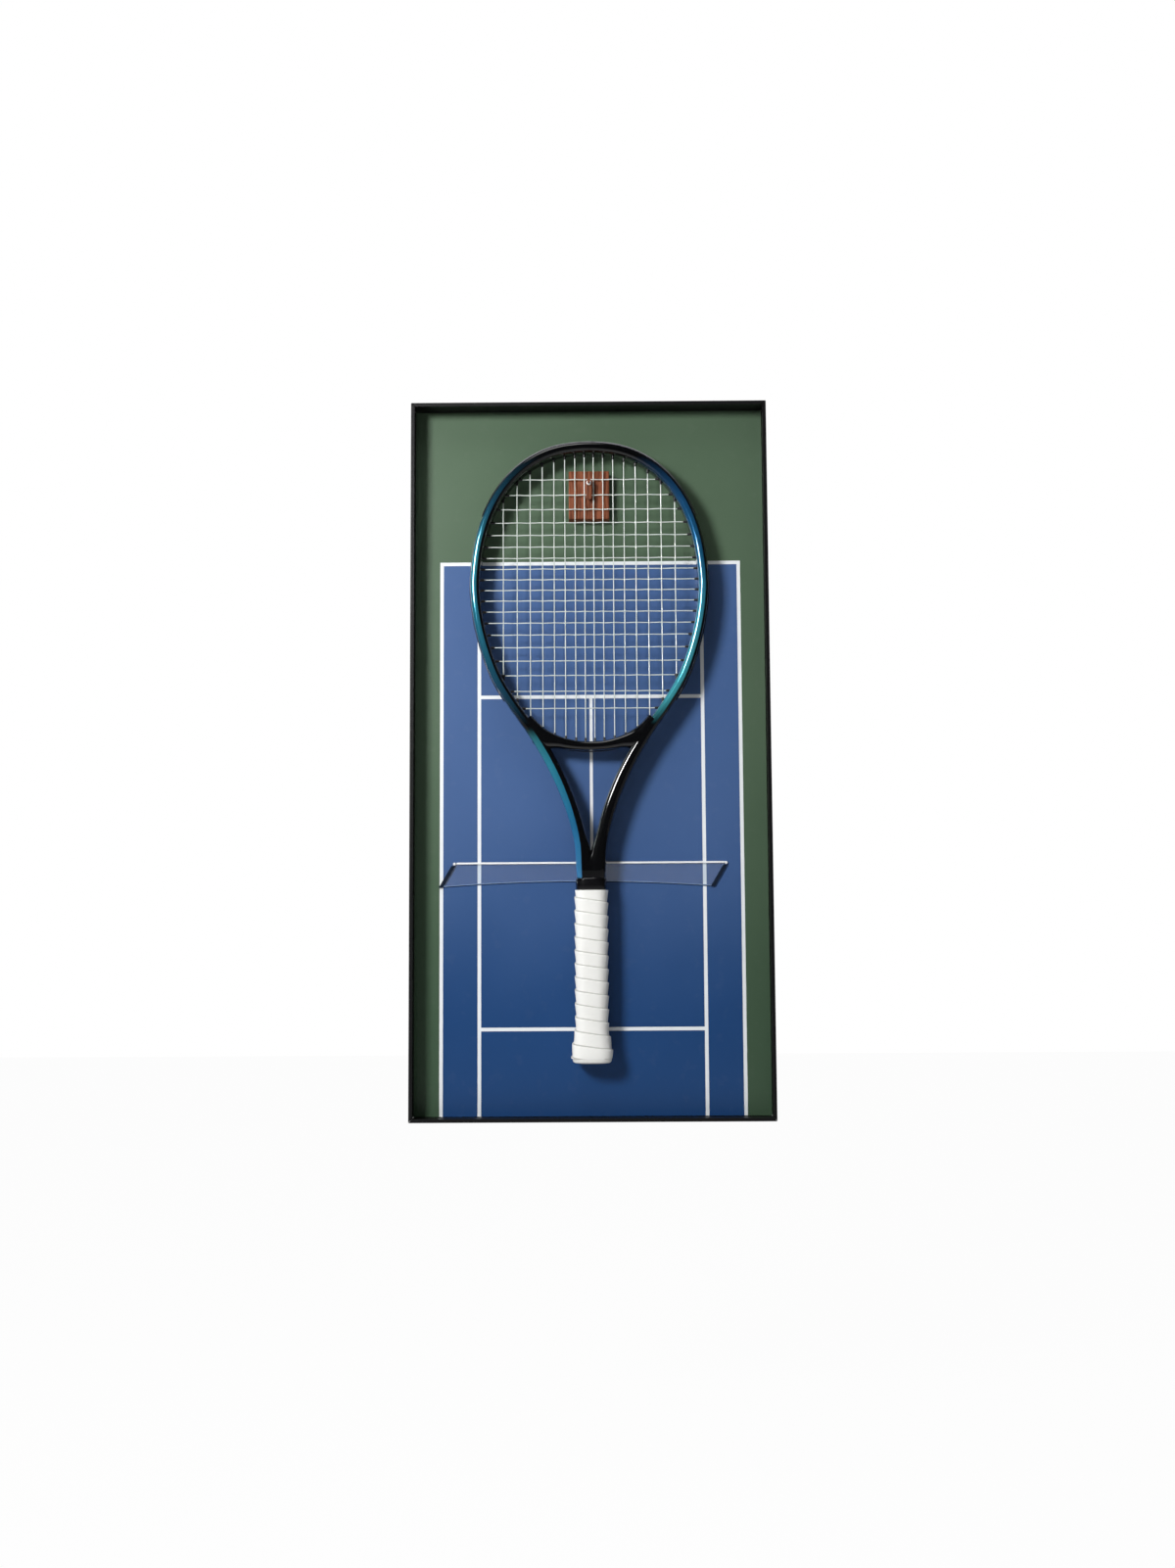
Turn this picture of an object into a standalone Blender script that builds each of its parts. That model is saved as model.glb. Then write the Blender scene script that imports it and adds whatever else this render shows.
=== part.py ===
"""Racket display frame: a shallow tray frame for a wall, with a court board, a clear net and a racket
that hangs on a block by its strings. Metres, +Z up, the wall is the plane Y = 0 and the front faces -Y.
The origin is on the back edge of the bottom rail, in the middle of its length."""

import math

import bmesh
import bpy
from mathutils import Matrix, Vector

# Tray frame
frame_width = 0.400
frame_height = 0.800
frame_depth = 0.035
rail_face = 0.004
rail_lip = 0.0018
rail_wall = 0.002
shelf_reach = 0.016
shelf_back = 0.0036
shelf_thickness = 0.0016

# Court board
board_thickness = 0.003
board_margin = 0.0005

# Corner brackets, screws and bumpers
bracket_leg = 0.036
bracket_width = 0.010
bracket_thickness = 0.0015
screw_head_radius = 0.0024
screw_head_height = 0.0011
screw_shank_radius = 0.0012
hole_clearance = 0.0003
bumper_radius = 0.005
bumper_from_corner = 0.056
board_screw_spacing = 0.400

# Keyhole plates on the back
keyhole_below_top = 0.110
keyhole_from_side = 0.025
keyhole_radius = 0.0047
keyhole_slot_width = 0.0046
keyhole_slot_rise = 0.0090
hanger_length = 0.031
hanger_width = 0.028
hanger_thickness = 0.0010
hanger_screw_spacing = 0.018

# Hanging block with its peg and toggle
block_width = 0.0458
block_height = 0.0552
block_thickness = 0.0142
block_edge = 0.0008
peg_below_block_top = 0.0159
sleeve_radius = 0.0041
toggle_width = 0.0065
toggle_above_pivot = 0.0046
toggle_below_pivot = 0.0190
toggle_thickness = 0.0030
peg_head_radius = 0.0027
peg_head_height = 0.0018

# Clear net that lies on the board
net_from_side = 0.0462
net_below_middle = 0.1177
net_rise = 0.0280
net_lean = 0.0165
net_bow = 0.0055
net_thickness = 0.0015
net_post_width = 0.0042
net_post_thickness = 0.0018
net_tape_width = 0.0020
net_cap_radius = 0.0017
net_cap_thickness = 0.0020

# Racket. Distances down are from the top of its head
racket_standoff = 0.0180
racket_rise = 0.00915
racket_length = 0.6925
head_width = 0.2686
widest_down = 0.1716
head_squareness = 2.255
hoop_width = 0.0118
arm_width = 0.0144
hoop_depth = 0.0240
arm_depth = 0.0222
arm_blend = 0.0900
tube_squareness = 2.5
tube_sides = 12
shaft_width = 0.0314
shaft_depth = 0.0190
tube_from_middle = 0.0090
bridge_down = 0.3453
bridge_width = 0.0110
bridge_depth = 0.0200
bridge_radius = 0.1600
bridge_share = 0.540
bridge_upturn = 0.0125
core_above_collar = 0.0325
core_width = 0.0268
core_depth = 0.0180
guard_thickness = 0.0012
guard_reach = 0.1500
strip_thickness = 0.0006
strip_end_down = 0.2950
throat_strip_reach = 0.0340
tube_in_handle = 0.0043
tube_in_core = 0.0010

# The racket's side, as shares of the head's half width and of the way down: first from its widest place
# to the bridge, then from the bridge to the collar
head_side = [(0.948, 0.261), (0.831, 0.527), (0.684, 0.717), (0.516, 0.891)]
throat_side = [(0.373, 0.069), (0.247, 0.288), (0.151, 0.514), (0.091, 0.733), (0.077, 0.911)]

# Strings
string_radius = 0.0007
string_weave = 0.0013
string_end_gap = 0.0009
main_count = 16
main_middle_gap = 0.0103
main_gap = 0.0106
main_gap_growth = 0.00082
cross_count = 19
first_cross_down = 0.0426
cross_gap = 0.0120
cross_gap_growth = 0.00009

# Handle
handle_length = 0.2012
collar_length = 0.0130
collar_half_width = 0.01725
collar_half_depth = 0.0140
collar_taper = 0.0004
grip_half_width = 0.0176
grip_half_depth = 0.0142
grip_pitch = 0.0145
grip_step = 0.0008
grip_sides = 16
grip_squareness = 4.5
tape_thickness = 0.0018
butt_plug_length = 0.0329
butt_flare = 0.0043
butt_flare_depth = 0.0015
butt_flare_start = 0.0420
butt_flare_length = 0.0330
butt_end_thickness = 0.0050
butt_end_round = 0.0030

# Room left where two pieces meet, and how far a half and a cutter go past what they cut
touching_gap = 0.0003
past_middle = 0.002
cutter_overrun = 0.002

# Places that follow from the sizes
bottom = -rail_wall / 2
middle_z = bottom + frame_height / 2
shelf_front = shelf_back + shelf_thickness
shelf_middle = (rail_wall + shelf_reach) / 2
stile_x = frame_width / 2 - shelf_middle
behind_shelf = shelf_back - touching_gap
board_back = shelf_front + touching_gap
board_front = board_back + board_thickness
on_board = board_front + touching_gap
block_front = on_board + block_thickness
racket_depth = board_front + racket_standoff
toggle_back = racket_depth + string_weave + touching_gap
racket_top = middle_z + racket_length / 2 + racket_rise
peg_z = racket_top - first_cross_down - string_radius - touching_gap - sleeve_radius
block_top = peg_z + peg_below_block_top
net_half_length = frame_width / 2 - net_from_side
net_z = middle_z - net_below_middle
side_half_width = head_width / 2 - strip_thickness - touching_gap - hoop_width / 2
collar_down = racket_length - handle_length
grip_down = collar_down + collar_length + touching_gap
tape_end_down = racket_length - butt_end_thickness
pallet_end_down = tape_end_down - butt_plug_length
loose_hole_radius = screw_shank_radius + hole_clearance

for old in list(bpy.data.objects):
    bpy.data.objects.remove(old)

parts = bpy.data.collections.new("racket_display_frame")
cutters = bpy.data.collections.new("cutters")
bpy.context.scene.collection.children.link(parts)
bpy.context.scene.collection.children.link(cutters)


def material(name, colour, roughness, metallic=0.0):
    """A Principled BSDF with one part's colour, roughness and metallic value."""
    made = bpy.data.materials.new(name)
    made.use_nodes = True
    shader = made.node_tree.nodes["Principled BSDF"]
    shader.inputs["Base Color"].default_value = (*colour, 1.0)
    shader.inputs["Roughness"].default_value = roughness
    shader.inputs["Metallic"].default_value = metallic
    return made


def add(name, data, look=None):
    """An object in the parts collection, or in the cutters' one if it has no material."""
    made = bpy.data.objects.new(name, data)
    if look:
        parts.objects.link(made)
        made.data.materials.append(look)
    else:
        cutters.objects.link(made)
        made.hide_render = True
        made.display_type = "WIRE"
    return made


def add_mesh(name, work, look=None):
    """The same, from a bmesh."""
    mesh = bpy.data.meshes.new(name)
    work.to_mesh(mesh)
    work.free()
    return add(name, mesh, look)


def as_mesh(curve):
    """A curve object turned into a mesh object, with its caps welded."""
    bpy.context.view_layer.update()
    graph = bpy.context.evaluated_depsgraph_get()
    mesh = bpy.data.meshes.new_from_object(curve.evaluated_get(graph))
    work = bmesh.new()
    work.from_mesh(mesh)
    bmesh.ops.remove_doubles(work, verts=work.verts, dist=0.00001)
    work.to_mesh(mesh)
    work.free()
    name, place = curve.name, curve.matrix_world.copy()
    bpy.data.objects.remove(curve)
    made = bpy.data.objects.new(name, mesh)
    parts.objects.link(made)
    made.matrix_world = place
    return made


def plate(name, outlines, back, thickness, look, height=0.0):
    """A flat plate that faces the front. Its outlines are (across, up) from a height; the others are holes."""
    flat = bpy.data.curves.new(name, "CURVE")
    flat.dimensions = "2D"
    flat.fill_mode = "BOTH"
    flat.extrude = thickness / 2
    for outline in outlines:
        loop = flat.splines.new("POLY")
        loop.points.add(len(outline) - 1)
        for point, (across, up) in zip(loop.points, outline):
            point.co = (across, up, 0, 1)
        loop.use_cyclic_u = True
    made = add(name, flat, look)
    made.rotation_euler = (math.radians(90), 0, 0)
    made.location = (0, -back - thickness / 2, height)
    return made


def block(name, low, high, look=None, edge=0.0):
    """A box between two corners, each (across, depth, up), with rounded edges if asked."""
    work = bmesh.new()
    bmesh.ops.create_cube(work, size=1)
    size = Vector(high) - Vector(low)
    middle = (Vector(high) + Vector(low)) / 2
    bmesh.ops.scale(work, vec=size, verts=work.verts)
    made = add_mesh(name, work, look)
    made.location = (middle.x, -middle.y, middle.z)
    if edge:
        rounding = made.modifiers.new("edges", "BEVEL")
        rounding.width = edge
        rounding.segments = 2
    return made


def turned(name, profile, place, look=None, sides=8, closed=False):
    """A solid turned about a line to the front at (across, up). The profile is (radius, depth), front first."""
    line = bpy.data.meshes.new(name)
    edges = [(k, k + 1) for k in range(len(profile) - 1)]
    if closed:
        edges.append((len(profile) - 1, 0))
    line.from_pydata([(radius, 0, depth) for radius, depth in profile], edges, [])
    made = add(name, line, look)
    made.rotation_euler = (math.radians(90), 0, 0)
    made.location = (place[0], 0, place[1])
    spin = made.modifiers.new("turn", "SCREW")
    spin.angle = math.tau
    spin.steps = sides
    spin.render_steps = sides
    spin.use_smooth_shade = False
    spin.use_merge_vertices = True
    spin.merge_threshold = 0.00001
    return made


def drills(name, places, back, front, radius=loose_hole_radius, sides=8):
    """One cutter with a cylinder towards the front at each (across, up) place."""
    work = bmesh.new()
    for across, up in places:
        place = Matrix.Translation((across, -(back + front) / 2, up)) @ Matrix.Rotation(math.pi / 2, 4, "X")
        bmesh.ops.create_cone(work, cap_ends=True, segments=sides, radius1=radius, radius2=radius,
                              depth=front - back, matrix=place)
    return add_mesh(name, work)


def loft(name, rings, look=None):
    """A closed body through rings of world points that have the same number of points each."""
    work = bmesh.new()
    rows = [[work.verts.new(point) for point in ring] for ring in rings]
    count = len(rows[0])
    for upper, lower in zip(rows, rows[1:]):
        for k in range(count):
            work.faces.new((upper[k], upper[(k + 1) % count], lower[(k + 1) % count], lower[k]))
    work.faces.new(rows[0])
    work.faces.new(rows[-1])
    bmesh.ops.recalc_face_normals(work, faces=work.faces)
    return add_mesh(name, work, look)


def cut(target, cutter, operation="DIFFERENCE"):
    """Cuts the target with the cutter, or joins the two."""
    change = target.modifiers.new(cutter.name, "BOOLEAN")
    change.operation = operation
    change.solver = "EXACT"
    change.object = cutter
    return target


def rounded(made, angle=35):
    """Smooth shading that stays sharp at the real edges."""
    made.data.shade_smooth()
    made.data.set_sharp_from_angle(angle=math.radians(angle))
    return made


def pivot(name, depth):
    """An empty on the peg's axis, for the pieces that turn about it."""
    made = bpy.data.objects.new(name, None)
    parts.objects.link(made)
    made.location = (0, -depth, peg_z)
    return made


def hang(made, support):
    """Ties a piece to the pivot that it turns about, and leaves it where it is."""
    bpy.context.view_layer.update()
    made.parent = support
    made.matrix_parent_inverse = support.matrix_world.inverted()
    return made


def screws(name, places, seat, reach, look):
    """Screws driven from behind, one object each. The head's underside is at depth seat."""
    tip = seat + reach
    head = seat - screw_head_height
    profile = [
        (0, tip), (screw_shank_radius * 0.5, tip), (screw_shank_radius, tip - screw_shank_radius),
        (screw_shank_radius, seat), (screw_head_radius, seat), (screw_head_radius * 0.7, head), (0, head),
    ]
    for k, place in enumerate(places):
        turned(f"{name}_{k + 1}", profile, place, look)


# Places of the screws, as (across, up)

corners = {
    "bottom_left": (-1, -1),
    "bottom_right": (1, -1),
    "top_left": (-1, 1),
    "top_right": (1, 1),
}
shelf_z = frame_height / 2 - shelf_middle
leg_screw = bracket_leg - bracket_width
hanger_z = bottom + frame_height - keyhole_below_top
hanger_x = frame_width / 2 - rail_wall - board_margin - hanger_length / 2

bracket_holes = []
for across, up in corners.values():
    bracket_holes.append((across * (stile_x - leg_screw), middle_z + up * shelf_z))
    bracket_holes.append((across * stile_x, middle_z + up * (shelf_z - leg_screw)))
board_holes = [(side * stile_x, middle_z + up * board_screw_spacing / 2) for side in (-1, 1) for up in (-1, 1)]
board_holes += [(0, middle_z - shelf_z), (0, middle_z + shelf_z)]
hanger_holes = [(side * stile_x, hanger_z + up * hanger_screw_spacing / 2)
                for side in (-1, 1) for up in (-1, 1)]
block_holes = [(0, block_top - block_height * share) for share in (0.55, 0.82)]

# Rails and stiles
through_shelf = (-cutter_overrun, shelf_front + cutter_overrun)
bracket_bores = drills("bracket_bores", bracket_holes, *through_shelf)
board_bores = drills("board_bores", board_holes, -cutter_overrun, board_back + board_thickness * 0.7)
hanger_bores = drills("hanger_bores", hanger_holes, *through_shelf)
shelf_bores = drills("shelf_bores", bracket_holes + board_holes + hanger_holes, *through_shelf)


def rail(name, length, turn, centre, look):
    """One mitred rail: the section (inwards, depth) at both of its ends, turned about the front axis."""
    section = [
        (0, 0), (0, frame_depth), (rail_face, frame_depth), (rail_face, frame_depth - rail_lip),
        (rail_wall, frame_depth - rail_lip), (rail_wall, shelf_front), (shelf_reach, shelf_front),
        (shelf_reach, shelf_back), (rail_wall, shelf_back), (rail_wall, 0),
    ]
    place = Matrix.Translation(centre) @ Matrix.Rotation(turn, 4, "Y")
    ends = []
    for side in (-1, 1):
        shortened = length / 2 - touching_gap / math.sqrt(2)
        ends.append([place @ Vector((side * (shortened - inwards), -depth, inwards))
                     for inwards, depth in section])
    return cut(loft(name, ends, look), shelf_bores)


black_metal = material("satin_black_profile", (0.012, 0.012, 0.013), 0.38, 0.6)
rail("frame_bottom_rail", frame_width, 0, (0, 0, bottom), black_metal)
rail("frame_top_rail", frame_width, math.pi, (0, 0, bottom + frame_height), black_metal)
rail("frame_left_stile", frame_height, math.pi / 2, (-frame_width / 2, 0, middle_z), black_metal)
rail("frame_right_stile", frame_height, -math.pi / 2, (frame_width / 2, 0, middle_z), black_metal)

# Corner brackets, on the back of the shelf
steel = material("zinc_plated_steel", (0.55, 0.55, 0.56), 0.35, 1.0)
black_steel = material("black_screw_steel", (0.05, 0.05, 0.055), 0.4, 0.9)
bracket_back = behind_shelf - bracket_thickness
for word, (across, up) in corners.items():
    half = bracket_width / 2
    far = bracket_leg - half
    ell = [(half, half), (-far, half), (-far, -half), (-half, -half), (-half, -far), (half, -far)]
    outline = [(across * (stile_x + a), middle_z + up * (shelf_z + b)) for a, b in ell]
    cut(as_mesh(plate("corner_bracket_" + word, [outline], bracket_back, bracket_thickness, steel)),
        bracket_bores)
bracket_seat = bracket_back - touching_gap
screws("bracket_screw", bracket_holes, bracket_seat, shelf_front - bracket_seat, black_steel)

# Court board with the screws that hold it to the shelf
half_board = frame_width / 2 - rail_wall - board_margin
half_board_height = frame_height / 2 - rail_wall - board_margin
board = block("court_board", (-half_board, board_back, middle_z - half_board_height),
              (half_board, board_front, middle_z + half_board_height),
              material("printed_board", (0.045, 0.085, 0.22), 0.18))
cut(board, board_bores)
board_seat = behind_shelf
screws("board_screw", board_holes, board_seat, board_back + board_thickness * 0.6 - board_seat,
       material("pale_screw_steel", (0.6, 0.58, 0.5), 0.35, 1.0))

# Bumpers that keep the frame off the wall
rubber = material("soft_rubber", (0.03, 0.03, 0.03), 0.8)
bumper_profile = [(0, behind_shelf), (bumper_radius, behind_shelf), (bumper_radius, behind_shelf * 0.35),
                  (bumper_radius * 0.8, 0), (0, 0)]
bumper_z = frame_height / 2 - bumper_from_corner
for word, (across, up) in corners.items():
    turned("wall_bumper_" + word, bumper_profile, (across * stile_x, middle_z + up * bumper_z), rubber, 12)


# Keyhole plates, screwed to the shelf, with the keyhole past its edge

def arc(centre, radius, start, end, steps):
    """Points (across, up) along part of a circle, with its angles in degrees."""
    turns = [math.radians(start + (end - start) * k / steps) for k in range(steps + 1)]
    return [(centre[0] + radius * math.cos(turn), centre[1] + radius * math.sin(turn)) for turn in turns]


keyhole_x = frame_width / 2 - keyhole_from_side
nickel = material("nickel_plated_steel", (0.62, 0.61, 0.58), 0.28, 1.0)
neck = math.degrees(math.asin(keyhole_slot_width / 2 / keyhole_radius))
for side, word in ((-1, "left"), (1, "right")):
    left, right = side * hanger_x - hanger_length / 2, side * hanger_x + hanger_length / 2
    foot, head = hanger_z - hanger_width / 2, hanger_z + hanger_width / 2
    hole_z = hanger_z - keyhole_slot_rise / 2
    keyhole = arc((side * keyhole_x, hole_z), keyhole_radius, 90 + neck, 450 - neck, 12)
    keyhole += arc((side * keyhole_x, hole_z + keyhole_slot_rise), keyhole_slot_width / 2, 0, 180, 6)
    outline = [(left, foot), (right, foot), (right, head), (left, head)]
    hanger = plate("keyhole_plate_" + word, [outline, keyhole], behind_shelf - hanger_thickness,
                   hanger_thickness, nickel)
    cut(as_mesh(hanger), hanger_bores)
hanger_seat = behind_shelf - hanger_thickness - touching_gap
screws("hanger_screw", hanger_holes, hanger_seat, shelf_front - hanger_seat, nickel)

# Hanging block, screwed on through the board
hanging_block = block("hanging_block", (-block_width / 2, on_board, block_top - block_height),
                      (block_width / 2, block_front, block_top),
                      material("red_brown_block", (0.36, 0.13, 0.07), 0.6), block_edge)
peg_tip = on_board + block_thickness * 0.3
cut(hanging_block, drills("peg_hole", [(0, peg_z)], peg_tip - touching_gap, block_front + cutter_overrun))
block_bores = drills("block_bores", block_holes, board_back - cutter_overrun, on_board + block_thickness * 0.5)
cut(hanging_block, block_bores)
cut(board, block_bores)
block_seat = board_back - touching_gap
screws("block_screw", block_holes, block_seat, on_board + block_thickness * 0.4 - block_seat, steel)

# Sleeve that the strings rest on, and the long screw that holds it and the toggle
sleeve_back = block_front + touching_gap
sleeve_front = toggle_back - touching_gap
sleeve_profile = [(loose_hole_radius, sleeve_front), (sleeve_radius, sleeve_front),
                  (sleeve_radius, sleeve_back), (loose_hole_radius, sleeve_back)]
turned("string_sleeve", sleeve_profile, (0, peg_z), material("brown_nylon", (0.26, 0.09, 0.05), 0.5), 16, True)
peg_seat = toggle_back + toggle_thickness + touching_gap
peg_profile = [(peg_head_radius * math.sin(math.pi / 2 * k / 4),
                peg_seat + peg_head_height * (0.25 + 0.75 * math.cos(math.pi / 2 * k / 4))) for k in range(5)]
peg_profile += [(peg_head_radius, peg_seat), (screw_shank_radius, peg_seat),
                (screw_shank_radius, peg_tip), (0, peg_tip)]
turned("peg_screw", peg_profile, (0, peg_z), material("bright_chrome", (0.85, 0.85, 0.86), 0.12, 1.0), 16)

# Toggle that is turned across the strings, or along them to lift the racket off
toggle_round = toggle_width / 2
toggle_outline = arc((0, toggle_above_pivot - toggle_round), toggle_round, 0, 180, 8)
toggle_outline += arc((0, toggle_round - toggle_below_pivot), toggle_round, 180, 360, 8)
toggle = as_mesh(plate("toggle_latch", [toggle_outline], toggle_back, toggle_thickness,
                       material("red_brown_toggle", (0.30, 0.11, 0.06), 0.55), peg_z))
cut(toggle, drills("toggle_bore", [(0, peg_z)], toggle_back - cutter_overrun, peg_seat + cutter_overrun, sides=12))
hang(toggle, pivot("toggle_pivot", toggle_back))


# Clear net: a leaning plate on the board, with a post at each end and a tape along its top

def net_point(along, share):
    """A point of the net: a place along its top edge, and a share of the way to its lower edge."""
    return (along - net_lean * share, net_z - net_rise * share)


def net_strip(start, end, high, low):
    """A leaning four-sided outline, between two places along the net and two shares of its height."""
    return [net_point(start, high), net_point(end, high), net_point(end, low), net_point(start, low)]


clear_acrylic = material("clear_acrylic", (0.75, 0.82, 0.88), 0.05)
dark_acrylic = material("dark_acrylic", (0.02, 0.03, 0.05), 0.12)
white_tape = material("white_net_tape", (0.9, 0.9, 0.9), 0.5)
gap_share = touching_gap / net_rise
tape_share = net_tape_width / net_rise
cap_share = 2 * net_cap_radius / net_rise
inner_end = net_half_length - net_post_width - touching_gap
tape_end = net_half_length - net_post_width / 2 - net_cap_radius - touching_gap
bow_steps = 12
lower_edge = []
for k in range(bow_steps + 1):
    across, up = net_point(inner_end * (1 - 2 * k / bow_steps), 1.0)
    lower_edge.append((across, up + net_bow * (1 - (2 * k / bow_steps - 1) ** 2)))
upper_edge = [net_point(-inner_end, tape_share + gap_share), net_point(inner_end, tape_share + gap_share)]
plate("net_plate", [upper_edge + lower_edge], on_board, net_thickness, clear_acrylic)
plate("net_tape", [net_strip(-tape_end, tape_end, 0, tape_share)], on_board, net_post_thickness, white_tape)
cap_profile = [(0, on_board + net_cap_thickness), (net_cap_radius * 0.7, on_board + net_cap_thickness),
               (net_cap_radius, on_board + net_cap_thickness * 0.6), (net_cap_radius, on_board), (0, on_board)]
for side, word in ((-1, "left"), (1, "right")):
    outer, inner = side * net_half_length, side * (net_half_length - net_post_width)
    plate("net_post_" + word, [net_strip(outer, inner, cap_share + gap_share, 1.0)], on_board,
          net_post_thickness, dark_acrylic)
    turned("net_cap_" + word, cap_profile, net_point((outer + inner) / 2, cap_share / 2), white_tape, 12)


# Racket

def down(distance):
    """World height of a point that is this far below the top of the racket's head."""
    return racket_top - distance


def world(point, depth):
    """A racket point (across, down) at a depth from the middle plane of its strings."""
    return Vector((point[0], -(racket_depth + depth), down(point[1])))


def smooth(share):
    """Rises from 0 to 1 without a kink."""
    share = min(max(share, 0), 1)
    return share * share * (3 - 2 * share)


def curve_through(points, before, steps):
    """Points of a smooth curve through the given ones. The place before the first sets its direction."""
    knots = [Vector(point) for point in [before] + points + [points[-1]]]
    out = []
    for p0, p1, p2, p3 in zip(knots, knots[1:], knots[2:], knots[3:]):
        for step in range(steps):
            t = step / steps
            out.append(0.5 * (2 * p1 + (p2 - p0) * t + (2 * p0 - 5 * p1 + 4 * p2 - p3) * t * t
                              + (3 * p1 - p0 - 3 * p2 + p3) * t ** 3))
    return out + [knots[-1]]


def half_racket_line():
    """Centreline of the racket's tube, from the top of the head to the handle, on the right."""
    rise = widest_down - guard_thickness - touching_gap - hoop_width / 2
    power = 2 / head_squareness
    knots = []
    for k in range(8):
        turn = math.pi / 2 * k / 8
        knots.append((side_half_width * math.sin(turn) ** power, widest_down - rise * math.cos(turn) ** power))
    knots.append((side_half_width, widest_down))
    head_way, throat_way = bridge_down - widest_down, collar_down - bridge_down
    knots += [(side_half_width * across, widest_down + head_way * along) for across, along in head_side]
    knots += [(side_half_width * across, bridge_down + throat_way * along) for across, along in throat_side]
    knots += [(tube_from_middle, collar_down), ((core_width / 2 - tube_in_core) / 2, grip_down + tube_in_handle)]
    return curve_through(knots, (-knots[1][0], knots[1][1]), 3)


def tube_frames(line, width_at, depth_at):
    """For each point of a line: the point, the direction outwards, and the tube's width and depth there."""
    frames = []
    for k, point in enumerate(line):
        before, after = line[max(k - 1, 0)], line[min(k + 1, len(line) - 1)]
        along = (after - before).normalized()
        frames.append((point, Vector((along.y, -along.x)), width_at(point.y), depth_at(point.y)))
    return frames


def into_handle(distance):
    """0 above the collar, and 1 where the tube ends inside the handle."""
    start = collar_down - collar_length
    return smooth((distance - start) / (grip_down - start))


def tube_width(distance):
    """Width of the tube in the racket's plane."""
    arm = smooth((distance - bridge_down + arm_blend / 2) / arm_blend)
    wide = hoop_width + (arm_width - hoop_width) * arm
    return wide + (core_width / 2 - tube_in_core - wide) * into_handle(distance)


def tube_depth(distance):
    """Depth of the tube across the racket's plane."""
    arm = smooth((distance - widest_down) / (bridge_down - widest_down))
    deep = hoop_depth + (arm_depth - hoop_depth) * arm
    return deep + (core_depth - tube_in_core - deep) * into_handle(distance)


def around_tube(frame, turn, gap=0.0):
    """A point on the tube's surface at one frame, or a gap away from it."""
    point, outwards, width, depth = frame
    c, s = math.cos(turn), math.sin(turn)
    size = (abs(c) ** tube_squareness + abs(s) ** tube_squareness) ** (-1 / tube_squareness)
    return world(point + outwards * ((width / 2 * size + gap) * c), (depth / 2 * size + gap) * s)


def tube_ring(frame, sides=tube_sides):
    """The section of the tube at one frame."""
    return [around_tube(frame, math.tau * (k + 0.5) / sides) for k in range(sides)]


def band_ring(frame, first, last, thickness, gap=touching_gap):
    """The section of a band that lies along some corners of the tube's section."""
    turns = [math.tau * (k + 0.5) / tube_sides for k in range(first, last + 1)]
    inner = [around_tube(frame, turn, gap) for turn in turns]
    outer = [around_tube(frame, turn, gap + thickness) for turn in reversed(turns)]
    return inner + outer


def between(frame, other, share):
    """A frame part of the way from one to another."""
    mixed = [a + (b - a) * share for a, b in zip(frame, other)]
    return (mixed[0], mixed[1].normalized(), mixed[2], mixed[3])


def stretch(frames, start, end):
    """The frames from one distance along their line to another."""
    out = []
    travelled = 0.0
    for frame, after in zip(frames, frames[1:]):
        length = (after[0] - frame[0]).length
        if not out and travelled + length > start:
            out.append(between(frame, after, (start - travelled) / length))
        if out and travelled + length >= end:
            out.append(between(frame, after, (end - travelled) / length))
            return out
        if out:
            out.append(after)
        travelled += length
    return out


def over_middle(frames):
    """The same frames, with the first moved across the middle plane for a mirror to cut."""
    point, outwards, width, depth = frames[0]
    return [(Vector((-past_middle, point.y)), Vector((0, outwards.y)).normalized(), width, depth)] + frames[1:]


def mirrored(made):
    """Cuts a piece at the middle plane and adds its other half."""
    half = made.modifiers.new("other_half", "MIRROR")
    half.use_axis = (True, False, False)
    half.use_bisect_axis = (True, False, False)
    half.use_mirror_merge = True
    half.merge_threshold = 0.00002
    return rounded(made)


racket_pivot = pivot("racket_pivot", racket_depth)
frames = tube_frames(half_racket_line(), tube_width, tube_depth)
bridge_steps = 8
bridge_line = []
for k in range(bridge_steps + 1):
    share = k / bridge_steps
    across = side_half_width * bridge_share * share
    rise = bridge_radius - math.sqrt(bridge_radius ** 2 - across ** 2) + bridge_upturn * share ** 4
    bridge_line.append(Vector((across, bridge_down - rise)))
bridge_frames = tube_frames(bridge_line, lambda distance: bridge_width, lambda distance: bridge_depth)

racket = loft("racket_frame", [tube_ring(frame) for frame in over_middle(frames)],
              material("racket_lacquer", (0.01, 0.012, 0.016), 0.16))
cut(racket, loft("bridge", [tube_ring(frame) for frame in over_middle(bridge_frames)]), "UNION")
core = block("core", (-past_middle, racket_depth - core_depth / 2, down(pallet_end_down)),
             (core_width / 2, racket_depth + core_depth / 2, down(collar_down - core_above_collar)))
cut(racket, core, "UNION")
hang(mirrored(racket), racket_pivot)

# Guard round the top of the head, and the strips that line the string holes
guard_frames = stretch(frames, 0, guard_reach)
guard = loft("bumper_guard", [band_ring(frame, -2, 1, guard_thickness) for frame in over_middle(guard_frames)],
             material("guard_nylon", (0.02, 0.02, 0.024), 0.5))
hang(mirrored(guard), racket_pivot)
strip_nylon = material("strip_nylon", (0.014, 0.014, 0.016), 0.45)
strip_frames = [frame for frame in stretch(frames, guard_reach + touching_gap, racket_length)
                if frame[0].y < strip_end_down]
for side, word in ((-1, "left"), (1, "right")):
    rings = [[Vector((side * p.x, p.y, p.z)) for p in band_ring(frame, -1, 0, strip_thickness)]
             for frame in strip_frames]
    hang(rounded(loft("grommet_strip_" + word, rings, strip_nylon)), racket_pivot)
throat_frames = stretch(bridge_frames, 0, throat_strip_reach)
below = tube_sides // 2
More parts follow.
